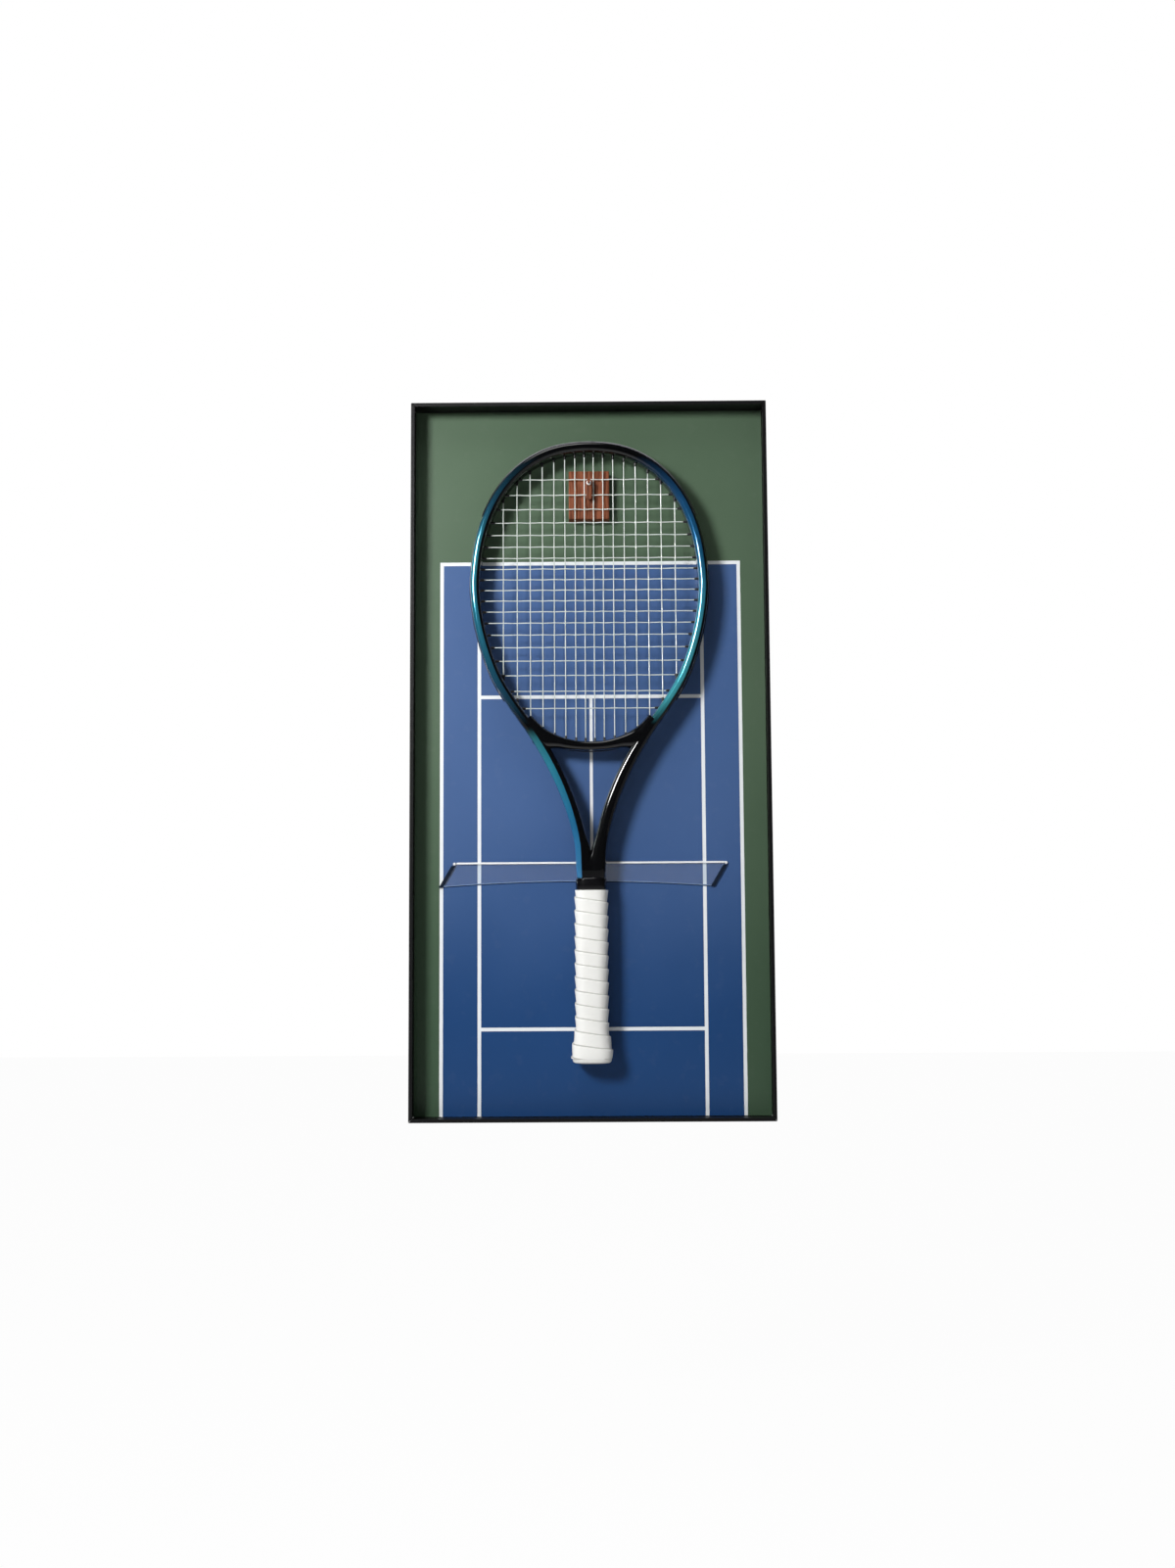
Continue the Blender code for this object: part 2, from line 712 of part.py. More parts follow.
throat = loft("throat_grommet_strip",
              [band_ring(frame, below - 1, below, strip_thickness) for frame in over_middle(throat_frames)],
              strip_nylon)
hang(mirrored(throat), racket_pivot)


# Strings: one flat net of four-sided strands that meet where they cross

def crossings(line, value, axis):
    """Where a line of points passes a value of one coordinate, as values of the other."""
    found = []
    for a, b in zip(line, line[1:]):
        if (a[axis] - value) * (b[axis] - value) < 0:
            share = (value - a[axis]) / (b[axis] - a[axis])
            found.append(a[1 - axis] + share * (b[1 - axis] - a[1 - axis]))
    return found


def string_places():
    """Half the main strings, as distances from the middle, and the cross strings, as distances down."""
    mains = [main_middle_gap / 2]
    for k in range(main_count // 2 - 1):
        mains.append(mains[-1] + main_gap + main_gap_growth * k)
    crosses = [first_cross_down]
    for k in range(cross_count - 1):
        crosses.append(crosses[-1] + cross_gap + cross_gap_growth * (k - (cross_count - 3) / 2) ** 2)
    return mains, crosses


def string_ends(mains, crosses):
    """The upper and lower ends of each main string, the reach of each cross string and what crosses what."""
    inside = [point - outwards * (width / 2 + string_end_gap) for point, outwards, width, _ in frames]
    bridge_top = [point + outwards * (width / 2 + string_end_gap) for point, outwards, width, _ in bridge_frames]
    spans = []
    for across in mains:
        passed = crossings(inside, across, 0)
        lower = [distance for distance in passed if distance > widest_down] + crossings(bridge_top, across, 0)
        spans.append([min(passed), min(lower)])
    reaches = [min(crossings(inside, distance, 1)) for distance in crosses]
    clear = 2 * string_radius + touching_gap
    kept = set()
    for i, across in enumerate(mains):
        for j, distance in enumerate(crosses):
            past_cross = min(distance - spans[i][0], spans[i][1] - distance)
            past_main = reaches[j] - across
            if min(past_cross, past_main) > clear:
                kept.add((i, j))
            elif min(past_cross, past_main) > -clear and past_main <= past_cross:
                reaches[j] = across - clear
            elif min(past_cross, past_main) > -clear:
                upper = distance - spans[i][0] < spans[i][1] - distance
                spans[i][0 if upper else 1] = distance + (clear if upper else -clear)
    return spans, reaches, kept


def strand(work, stops):
    """One string through its stops: each is its own four corners, as it comes and as it goes."""
    for (_, start), (end, _) in zip(stops, stops[1:]):
        for k in range(4):
            work.faces.new((start[k], start[(k + 1) % 4], end[(k + 1) % 4], end[k]))
    work.faces.new(stops[0][0])
    work.faces.new(stops[-1][1])


def string_bed():
    """All strings in the middle plane. A crossing has a point at the front, one at the back and four corners."""
    mains, crosses = string_places()
    spans, reaches, kept = string_ends(mains, crosses)
    work = bmesh.new()

    def corner(across, distance, depth=0.0):
        return work.verts.new(world((across, distance), depth))

    r = string_radius
    knots = {}
    for i, j in kept:
        for side in (-1, 1):
            x, d = side * mains[i], crosses[j]
            knots[side, i, j] = {
                "front": corner(x, d, r), "back": corner(x, d, -r),
                (-1, -1): corner(x - r, d - r), (1, -1): corner(x + r, d - r),
                (-1, 1): corner(x - r, d + r), (1, 1): corner(x + r, d + r),
            }
    for i, (top, foot) in enumerate(spans):
        for side in (-1, 1):
            x = side * mains[i]
            ends = [[corner(x, d, r), corner(x + r, d), corner(x, d, -r), corner(x - r, d)] for d in (top, foot)]
            stops = [(ends[0], ends[0])]
            for j in range(len(crosses)):
                if (i, j) in kept:
                    knot = knots[side, i, j]
                    stops.append(tuple([knot["front"], knot[1, up], knot["back"], knot[-1, up]] for up in (-1, 1)))
            strand(work, stops + [(ends[1], ends[1])])
    for j, reach in enumerate(reaches):
        d = crosses[j]
        ends = [[corner(x, d, r), corner(x, d + r), corner(x, d, -r), corner(x, d - r)] for x in (-reach, reach)]
        stops = [(ends[0], ends[0])]
        order = [(-1, i) for i in reversed(range(len(mains)))] + [(1, i) for i in range(len(mains))]
        for side, i in order:
            if (i, j) in kept:
                knot = knots[side, i, j]
                stops.append(tuple([knot["front"], knot[x, 1], knot["back"], knot[x, -1]] for x in (-1, 1)))
        strand(work, stops + [(ends[1], ends[1])])
    bmesh.ops.recalc_face_normals(work, faces=work.faces)
    return add_mesh("string_bed", work, material("white_strings", (0.85, 0.86, 0.85), 0.35))


hang(string_bed(), racket_pivot)


# Handle

def handle_point(column, distance, half_width, half_depth):
    """A point of the handle's rounded outline, which has flatter front, back and sides than an oval."""
    turn = math.tau * (column + 0.5) / grip_sides
    c, s = math.cos(turn), math.sin(turn)
    size = ((abs(c) / half_width) ** grip_squareness
            + (abs(s) / half_depth) ** grip_squareness) ** (-1 / grip_squareness)
    return world((size * c, distance), size * s)


def handle_ring(distance, half_width, half_depth):
    """The handle's outline at a distance below the top of the head."""
    return [handle_point(column, distance, half_width, half_depth) for column in range(grip_sides)]


def flare(distance):
    """0 along the handle and 1 where its butt is widest."""
    return smooth((distance - racket_length + butt_flare_start) / butt_flare_length)


def sized_ring(distance, grow):
    """The outline under the tape at a distance, made larger all round."""
    return handle_ring(distance, grip_half_width + butt_flare * flare(distance) + grow,
                       grip_half_depth + butt_flare_depth * flare(distance) + grow)


def wound_tape():
    """The wound tape: a strip whose edge climbs a little at each turn, cut square at both ends."""
    work = bmesh.new()
    profile = ((0.0, 1.0), (0.3, 0.7), (0.6, 0.3), (0.94, 0.0))
    turns = math.ceil((tape_end_down - grip_down) / grip_pitch) + 3
    rows = []
    for k in range(turns):
        for offset, step in profile:
            row = []
            for column in range(grip_sides):
                distance = grip_down + grip_pitch * (k - 1 + offset - column / grip_sides)
                raised = grip_step * step
                row.append(work.verts.new(handle_point(
                    column, distance, grip_half_width + butt_flare * flare(distance) + raised,
                    grip_half_depth + butt_flare_depth * flare(distance) + raised)))
            rows.append(row)
    turn_rows = len(profile)
    for k in range(turn_rows, len(rows) - 1):
        for column in range(grip_sides):
            if column + 1 < grip_sides:
                beside, beside_low = rows[k][column + 1], rows[k + 1][column + 1]
            else:
                beside, beside_low = rows[k - turn_rows][0], rows[k + 1 - turn_rows][0]
            work.faces.new((rows[k][column], beside, beside_low, rows[k + 1][column]))
    for height, outer in ((down(grip_down), 1), (down(tape_end_down), -1)):
        bmesh.ops.bisect_plane(work, geom=work.verts[:] + work.edges[:] + work.faces[:], dist=0.000001,
                               plane_co=(0, 0, height), plane_no=(0, 0, outer), clear_outer=True)
    bmesh.ops.holes_fill(work, edges=[edge for edge in work.edges if edge.is_boundary], sides=0)
    bmesh.ops.recalc_face_normals(work, faces=work.faces)
    return add_mesh("overgrip", work, material("white_grip_tape", (0.86, 0.86, 0.82), 0.7))


under_tape = -tape_thickness
flare_steps = [tape_end_down - (tape_end_down - pallet_end_down) * k / 6 for k in range(6, -1, -1)]
overgrip = wound_tape()
bore_rings = [sized_ring(grip_down - cutter_overrun, under_tape + touching_gap)]
bore_rings += [sized_ring(distance, under_tape + touching_gap) for distance in flare_steps]
bore_rings.append(sized_ring(tape_end_down + cutter_overrun, under_tape + touching_gap))
cut(overgrip, loft("grip_bore", bore_rings))
hang(rounded(overgrip), racket_pivot)

pallet = loft("handle_pallet", [sized_ring(grip_down, under_tape), sized_ring(pallet_end_down, under_tape)],
              material("pallet_foam", (0.10, 0.10, 0.11), 0.7))
around_core = touching_gap
cut(pallet, block("core_bore",
                  (-core_width / 2 - around_core, racket_depth - core_depth / 2 - around_core,
                   down(pallet_end_down + cutter_overrun)),
                  (core_width / 2 + around_core, racket_depth + core_depth / 2 + around_core,
                   down(grip_down - cutter_overrun))))
hang(rounded(pallet), racket_pivot)

butt_rings = [sized_ring(distance + touching_gap, under_tape) for distance in flare_steps]
end_start = tape_end_down + touching_gap
for k in range(4):
    turn = math.pi / 2 * k / 3
    distance = end_start + (racket_length - end_start) * math.sin(turn)
    butt_rings.append(sized_ring(distance, -butt_end_round * (1 - math.cos(turn))))
hang(rounded(loft("butt_cap", butt_rings, material("butt_cap_nylon", (0.8, 0.8, 0.78), 0.45))), racket_pivot)

collar_rings = [
    handle_ring(collar_down, collar_half_width - collar_taper, collar_half_depth - collar_taper),
    handle_ring(collar_down + collar_length * 0.3, collar_half_width, collar_half_depth),
    handle_ring(collar_down + collar_length, collar_half_width, collar_half_depth),
]
collar = loft("grip_collar", collar_rings, material("collar_rubber", (0.015, 0.015, 0.016), 0.5))
collar_bore = block("collar_bore",
                    (-shaft_width / 2 - touching_gap, racket_depth - shaft_depth / 2 - touching_gap,
                     down(grip_down + cutter_overrun)),
                    (shaft_width / 2 + touching_gap, racket_depth + shaft_depth / 2 + touching_gap,
                     down(collar_down - cutter_overrun)))
cut(collar, collar_bore)
hang(rounded(collar), racket_pivot)
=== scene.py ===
import math

import bmesh
import bpy
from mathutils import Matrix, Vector


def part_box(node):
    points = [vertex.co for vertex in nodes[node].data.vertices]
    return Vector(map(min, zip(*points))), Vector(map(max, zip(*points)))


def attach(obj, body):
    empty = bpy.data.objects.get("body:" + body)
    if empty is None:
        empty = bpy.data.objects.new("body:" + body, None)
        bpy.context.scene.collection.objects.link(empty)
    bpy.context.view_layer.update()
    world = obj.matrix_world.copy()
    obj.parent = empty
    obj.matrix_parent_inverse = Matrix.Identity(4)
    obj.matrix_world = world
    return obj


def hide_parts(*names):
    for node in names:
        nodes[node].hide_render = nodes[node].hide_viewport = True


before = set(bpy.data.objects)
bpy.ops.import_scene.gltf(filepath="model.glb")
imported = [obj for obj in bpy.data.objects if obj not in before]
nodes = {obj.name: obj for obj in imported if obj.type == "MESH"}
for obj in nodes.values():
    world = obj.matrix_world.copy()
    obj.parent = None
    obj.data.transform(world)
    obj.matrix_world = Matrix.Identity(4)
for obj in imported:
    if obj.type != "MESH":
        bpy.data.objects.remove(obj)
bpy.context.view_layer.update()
print("frame loaded:", len(nodes), "CAD nodes")

# camera, lights and floor

cameraSetup = {"place": (0.0052, -1.5969, 0.241), "tiltUp": 4.592, "roll": 0.341, "yaw": 0.344,
               "focalPixels": 1450.0, "imageHeight": 1601, "sensor": 36.0}
lampSetup = [
    {"name": "keyLamp", "place": (-0.86, -1.23, 0.97), "aim": (0.0, 0.0, 0.42), "size": 0.36, "power": 26.5,
     "glints": True},
    {"name": "topLamp", "place": (-0.25, -0.60, 1.90), "aim": (0.0, -0.02, 0.55), "size": 0.6, "power": 5.0,
     "glints": True},
    {"name": "fillLamp", "place": (1.70, -1.70, 0.60), "aim": (0.0, 0.0, 0.35), "size": 1.6, "power": 1.4,
     "glints": False},
]
stageSetup = {"floorHeight": -0.42, "floorSize": 9.0, "floorColour": (0.90, 0.90, 0.90, 1.0), "whiteShare": 0.97,
              "skyLight": 0.13, "skyGlint": 0.02, "glossyWhite": (0.05, 0.45)}


def clearSelection():
    if bpy.context.mode != "OBJECT":
        bpy.ops.object.mode_set(mode="OBJECT")
    bpy.ops.object.select_all(action="DESELECT")


def selectOnly(piece):
    clearSelection()
    piece.select_set(True)
    bpy.context.view_layer.objects.active = piece


def addNode(tree, kind, inputs=None, **settings):
    made = tree.nodes.new(kind)
    for name, value in settings.items():
        setattr(made, name, value)
    for name, value in (inputs or {}).items():
        if isinstance(value, bpy.types.NodeSocket):
            tree.links.new(value, made.inputs[name])
        else:
            made.inputs[name].default_value = value
    return made


def maths(tree, operation, *values, clamp=False):
    made = addNode(tree, "ShaderNodeMath", dict(enumerate(values)), operation=operation, use_clamp=clamp)
    return made.outputs[0]


def chained(tree, operation, values):
    total = values[0]
    for value in values[1:]:
        total = maths(tree, operation, total, value)
    return total


def product(tree, *values):
    return chained(tree, "MULTIPLY", values)


def biggest(tree, *values):
    return chained(tree, "MAXIMUM", values)


def mixColours(tree, share, first, second):
    return addNode(tree, "ShaderNodeMix", {0: share, 6: first, 7: second}, data_type="RGBA").outputs[2]


def mixShaders(tree, share, first, second):
    return addNode(tree, "ShaderNodeMixShader", {0: share, 1: first, 2: second}).outputs[0]


def axesOf(tree, vector):
    return addNode(tree, "ShaderNodeSeparateXYZ", {0: vector}).outputs


def noise(tree, vector, scale, detail, **more):
    return addNode(tree, "ShaderNodeTexNoise", {"Vector": vector, "Scale": scale, "Detail": detail, **more}).outputs[0]


def bump(tree, height, strength, depth, **more):
    inputs = {"Height": height, "Strength": strength, "Distance": depth, **more}
    return addNode(tree, "ShaderNodeBump", inputs).outputs[0]


def remap(tree, value, fromLow, fromHigh, toLow=0.0, toHigh=1.0, smoothed=True):
    made = addNode(tree, "ShaderNodeMapRange", {"Value": value, "From Min": fromLow, "From Max": fromHigh,
                                                "To Min": toLow, "To Max": toHigh},
                   interpolation_type="SMOOTHSTEP" if smoothed else "LINEAR")
    return made.outputs[0]


def ramp(tree, value, stops):
    made = addNode(tree, "ShaderNodeValToRGB", {"Fac": value})
    steps = made.color_ramp.elements
    steps[0].position, steps[0].color = stops[0]
    steps[1].position, steps[1].color = stops[-1]
    for position, colour in stops[1:-1]:
        steps.new(position).color = colour
    return made.outputs["Color"]


def setUpStage():
    clearSelection()
    bpy.ops.object.camera_add(location=cameraSetup["place"])
    camera = bpy.context.active_object
    camera.rotation_euler = [math.radians(turn) for turn in (90 + cameraSetup["tiltUp"], cameraSetup["roll"],
                                                            cameraSetup["yaw"])]
    camera.data.sensor_width = cameraSetup["sensor"]
    camera.data.lens = cameraSetup["focalPixels"] * cameraSetup["sensor"] / cameraSetup["imageHeight"]
    bpy.context.scene.camera = camera
    for lamp in lampSetup:
        bpy.ops.object.light_add(type="AREA", location=lamp["place"])
        light = bpy.context.active_object
        light.name = lamp["name"]
        light.data.size = lamp["size"]
        light.data.energy = lamp["power"]
        light.visible_glossy = lamp["glints"]
        away = Vector(lamp["place"]) - Vector(lamp["aim"])
        light.rotation_euler = away.to_track_quat("Z", "Y").to_euler()

    bpy.ops.mesh.primitive_plane_add(size=stageSetup["floorSize"], location=(0, 0, stageSetup["floorHeight"]))
    floor = bpy.context.active_object
    floor.name = "studioFloor"
    material = bpy.data.materials.new("palePaper")
    material.use_nodes = True
    tree = material.node_tree
    shader = tree.nodes["Principled BSDF"]
    shader.inputs["Base Color"].default_value = stageSetup["floorColour"]
    shader.inputs["Roughness"].default_value = 0.7
    path = addNode(tree, "ShaderNodeLightPath")
    seen = biggest(tree, path.outputs["Is Camera Ray"], path.outputs["Is Transmission Ray"])
    glow = addNode(tree, "ShaderNodeEmission", {"Color": (1, 1, 1, 1), "Strength": 1.0})
    both = mixShaders(tree, maths(tree, "MULTIPLY", seen, stageSetup["whiteShare"]), shader.outputs[0],
                      glow.outputs[0])
    tree.links.new(both, tree.nodes["Material Output"].inputs["Surface"])
    floor.data.materials.append(material)

    world = bpy.data.worlds.new("studioSky")
    world.use_nodes = True
    bpy.context.scene.world = world
    tree = world.node_tree
    light = tree.nodes["Background"]
    light.inputs["Color"].default_value = (1, 1, 1, 1)
    white = addNode(tree, "ShaderNodeBackground", {"Color": (1, 1, 1, 1), "Strength": 1.0})
    path = addNode(tree, "ShaderNodeLightPath")
    behind = axesOf(tree, addNode(tree, "ShaderNodeTexCoord").outputs["Generated"])["Y"]
    sky = maths(tree, "MULTIPLY_ADD", path.outputs["Is Glossy Ray"], stageSetup["skyGlint"] - stageSetup["skyLight"],
                stageSetup["skyLight"])
    tree.links.new(sky, light.inputs["Strength"])
    glossy = product(tree, path.outputs["Is Glossy Ray"], remap(tree, behind, *stageSetup["glossyWhite"]))
    seen = biggest(tree, path.outputs["Is Camera Ray"], path.outputs["Is Transmission Ray"], glossy)
    both = mixShaders(tree, seen, light.outputs[0], white.outputs[0])
    tree.links.new(both, tree.nodes["World Output"].inputs["Surface"])
    bpy.context.scene.view_settings.view_transform = "Standard"


setUpStage()
print("stage ready")

# effects that several finishes share

dust = {"rise": (0.58, 0.72), "colour": (0.62, 0.61, 0.58, 1)}


def newEffect(name, inputs, outputs):
    # a node group: the kind of each input follows from its usual value
    group = bpy.data.node_groups.new(name, "ShaderNodeTree")
    for label, value in inputs.items():
        kind = "Float" if isinstance(value, float) else "Color" if len(value) == 4 else "Vector"
        socket = group.interface.new_socket(label, in_out="INPUT", socket_type="NodeSocket" + kind)
        socket.default_value = value
    for label, kind in outputs.items():
        group.interface.new_socket(label, in_out="OUTPUT", socket_type="NodeSocket" + kind)
    return group, addNode(group, "NodeGroupInput").outputs, addNode(group, "NodeGroupOutput").inputs


def handledSurface():
    # cloudy tone, uneven gloss and a little dust
    group, given, out = newEffect(
        "handledSurface", {"Vector": (0, 0, 0), "Scale": 40.0, "Color": (0.5, 0.5, 0.5, 1), "Tone": 0.1,
                           "Roughness": 0.4, "Spread": 0.05, "Dust": 0.05},
        {"Color": "Color", "Roughness": "Float"})
    uneven = maths(group, "SUBTRACT", noise(group, given["Vector"], given["Scale"], 5.0, Roughness=0.6), 0.5)
    level = maths(group, "MULTIPLY_ADD", uneven, maths(group, "MULTIPLY", given["Tone"], 2.0), 1.0)
    toned = addNode(group, "ShaderNodeHueSaturation", {"Value": level, "Color": given["Color"]}).outputs[0]
    fine = noise(group, given["Vector"], maths(group, "MULTIPLY", given["Scale"], 9.0), 3.0)
    specks = maths(group, "MULTIPLY", remap(group, fine, *dust["rise"]), given["Dust"])
    group.links.new(mixColours(group, specks, toned, dust["colour"]), out["Color"])
    rough = maths(group, "MULTIPLY_ADD", uneven, maths(group, "MULTIPLY", given["Spread"], 2.0), given["Roughness"])
    group.links.new(maths(group, "ADD", rough, maths(group, "MULTIPLY", specks, 0.5), clamp=True), out["Roughness"])
    return group


def fineGrain():
    # the small relief of powder coat, moulded nylon and rubber
    group, given, out = newEffect("fineGrain", {"Vector": (0, 0, 0), "Scale": 900.0, "Strength": 0.2},
                                  {"Normal": "Vector"})
    relief = noise(group, given["Vector"], given["Scale"], 2.0)
    group.links.new(bump(group, relief, given["Strength"], 0.0002), out["Normal"])
    return group


def drawnLines():
    # fine lines along one direction: brushed metal, the grain of painted wood and the creases in tape
    group, given, out = newEffect(
        "drawnLines", {"Vector": (0, 0, 0), "Stretch": (900.0, 900.0, 20.0), "Sharpness": 0.5, "Strength": 0.2,
                       "Depth": 0.0002},
        {"Mask": "Float", "Normal": "Vector"})
    drawn = addNode(group, "ShaderNodeVectorMath", {0: given["Vector"], 1: given["Stretch"]}, operation="MULTIPLY")
    mask = noise(group, drawn.outputs[0], 1.0, 4.0, Roughness=given["Sharpness"], Distortion=0.3)
    group.links.new(mask, out["Mask"])
    group.links.new(bump(group, mask, given["Strength"], given["Depth"]), out["Normal"])
    return group


effects = {"handled": handledSurface(), "grain": fineGrain(), "lines": drawnLines()}


def useEffect(tree, effect, **inputs):
    return addNode(tree, "ShaderNodeGroup", inputs, node_tree=effects[effect]).outputs


def newFinish(name, **look):
    # the values of a look that start with a capital letter are the shader's own
    material = bpy.data.materials.new(name)
    material.use_nodes = True
    tree = material.node_tree
    shader = tree.nodes["Principled BSDF"]
    for socket, value in look.items():
        if socket[0].isupper():
            shader.inputs[socket.replace("_", " ")].default_value = value
    return material, tree, shader, addNode(tree, "ShaderNodeTexCoord").outputs["Object"]


def linkAll(tree, shader, **links):
    for socket, value in links.items():
        tree.links.new(value, shader.inputs[socket.replace("_", " ")])


def addWear(tree, shader, where, normal, **wear):
    # a handled surface with its relief; some finishes change its colour or its roughness further
    handled = useEffect(tree, "handled", Vector=where, **wear)
    linkAll(tree, shader, Base_Color=handled["Color"], Roughness=handled["Roughness"], Normal=normal)
    return handled


finishes = {
    "railBlack": {"colour": (0.0060, 0.0060, 0.0066, 1), "roughness": 0.36, "spread": 0.05, "tone": 0.12, "dust": 0.004,
                  "cloud": 22.0, "grain": 1500.0, "relief": 0.22, "Specular_IOR_Level": 0.22},
    "screwBlack": {"colour": (0.030, 0.030, 0.033, 1), "roughness": 0.38, "spread": 0.08, "tone": 0.2, "dust": 0.06,
                   "cloud": 300.0, "grain": 2500.0, "relief": 0.15, "Metallic": 0.85},
    "barrelNylon": {"colour": (0.005, 0.005, 0.006, 1), "roughness": 0.42, "spread": 0.06, "tone": 0.2, "dust": 0.004,
                    "cloud": 200.0, "grain": 1800.0, "relief": 0.15},
    "bumperRubber": {"colour": (0.022, 0.022, 0.023, 1), "roughness": 0.78, "spread": 0.08, "tone": 0.25, "dust": 0.12,
                     "cloud": 260.0, "grain": 2400.0, "relief": 0.5},
    "collarRubber": {"colour": (0.004, 0.004, 0.005, 1), "roughness": 0.24, "spread": 0.06, "tone": 0.2, "dust": 0.004,
                     "cloud": 150.0, "grain": 1600.0, "relief": 0.12, "Specular_IOR_Level": 0.3, "Coat_Weight": 0.6,
                     "Coat_Roughness": 0.06},
    "stripNylon": {"colour": (0.005, 0.005, 0.006, 1), "roughness": 0.40, "spread": 0.09, "tone": 0.2, "dust": 0.004,
                   "cloud": 60.0, "grain": 1300.0, "relief": 0.25, "Specular_IOR_Level": 0.3},
    "palletFoam": {"colour": (0.085, 0.085, 0.092, 1), "roughness": 0.8, "spread": 0.08, "tone": 0.2, "dust": 0.05,
                   "cloud": 120.0, "grain": 700.0, "relief": 0.6},
    "brownNylon": {"colour": (0.150, 0.056, 0.032, 1), "roughness": 0.46, "spread": 0.06, "tone": 0.12, "dust": 0.03,
                   "cloud": 300.0, "grain": 1500.0, "relief": 0.2},
    "netWhite": {"colour": (0.86, 0.87, 0.88, 1), "roughness": 0.38, "spread": 0.06, "tone": 0.05, "dust": 0.03,
                 "cloud": 180.0, "grain": 2200.0, "relief": 0.15},
    "buttNylon": {"colour": (0.80, 0.80, 0.77, 1), "roughness": 0.44, "spread": 0.07, "tone": 0.07, "dust": 0.08,
                  "cloud": 90.0, "grain": 1200.0, "relief": 0.25},
    "stringNylon": {"colour": (0.60, 0.65, 0.61, 1), "roughness": 0.30, "spread": 0.08, "tone": 0.08, "dust": 0.03,
                    "cloud": 130.0, "grain": 2600.0, "relief": 0.15, "Coat_Weight": 0.3},
}


def mouldedFinish(name):
    look = finishes[name]
    material, tree, shader, where = newFinish(name, **look)
    grain = useEffect(tree, "grain", Vector=where, Scale=look["grain"], Strength=look["relief"])
    addWear(tree, shader, where, grain["Normal"], Scale=look["cloud"], Color=look["colour"], Tone=look["tone"],
            Roughness=look["roughness"], Spread=look["spread"], Dust=look["dust"])
    return material


metals = {
    "zincPlate": {"colour": (0.56, 0.57, 0.59, 1), "roughness": 0.34, "spread": 0.10, "tone": 0.18,
                  "stretch": (160.0, 160.0, 160.0)},
    "nickelPlate": {"colour": (0.66, 0.64, 0.59, 1), "roughness": 0.24, "spread": 0.07, "tone": 0.10,
                    "stretch": (2400.0, 800.0, 60.0)},
    # the peg screw's head: a near-white, barely metallic colour that stands in for the glint on a chrome dome, a
    # painted highlight
    "brightChrome": {"colour": (0.95, 0.95, 0.94, 1), "Metallic": 0.1, "roughness": 0.30, "spread": 0.06, "tone": 0.05,
                     "stretch": (900.0, 900.0, 900.0)},
    "yellowPassivate": {"colour": (0.62, 0.56, 0.40, 1), "roughness": 0.33, "spread": 0.08, "tone": 0.15,
                        "stretch": (700.0, 700.0, 700.0)},
}


def metalFinish(name):
    look = {"Metallic": 1.0, **metals[name]}
    material, tree, shader, where = newFinish(name, **look)
    lines = useEffect(tree, "lines", Vector=where, Stretch=look["stretch"], Strength=0.12)
    handled = addWear(tree, shader, where, lines["Normal"], Scale=150.0, Color=look["colour"], Tone=look["tone"],
                      Roughness=look["roughness"], Spread=look["spread"], Dust=0.03)
    drawn = maths(tree, "MULTIPLY_ADD", maths(tree, "SUBTRACT", lines["Mask"], 0.5), look["spread"],
                  handled["Roughness"], clamp=True)
    linkAll(tree, shader, Roughness=drawn)
    return material


# court board

court = {"middle": 0.0008, "outer": 0.1682, "singles": 0.1258, "top": 0.6200, "upperService": 0.4673,
         "lowerService": 0.0965, "line": 0.0040, "middleLine": 0.0034, "green": (0.083, 0.132, 0.083, 1),
         "greenLow": (0.052, 0.094, 0.056, 1), "greenRise": (0.10, 0.60), "blue": (0.058, 0.116, 0.272, 1),
         "blueLow": (0.014, 0.058, 0.180, 1), "blueRise": (0.16, 0.44), "cloud": 5.0, "drift": 0.16,
         "white": (0.80, 0.83, 0.85, 1), "back": (0.52, 0.45, 0.36, 1), "backDark": (0.40, 0.33, 0.25, 1),
         "backRoughness": 0.5}


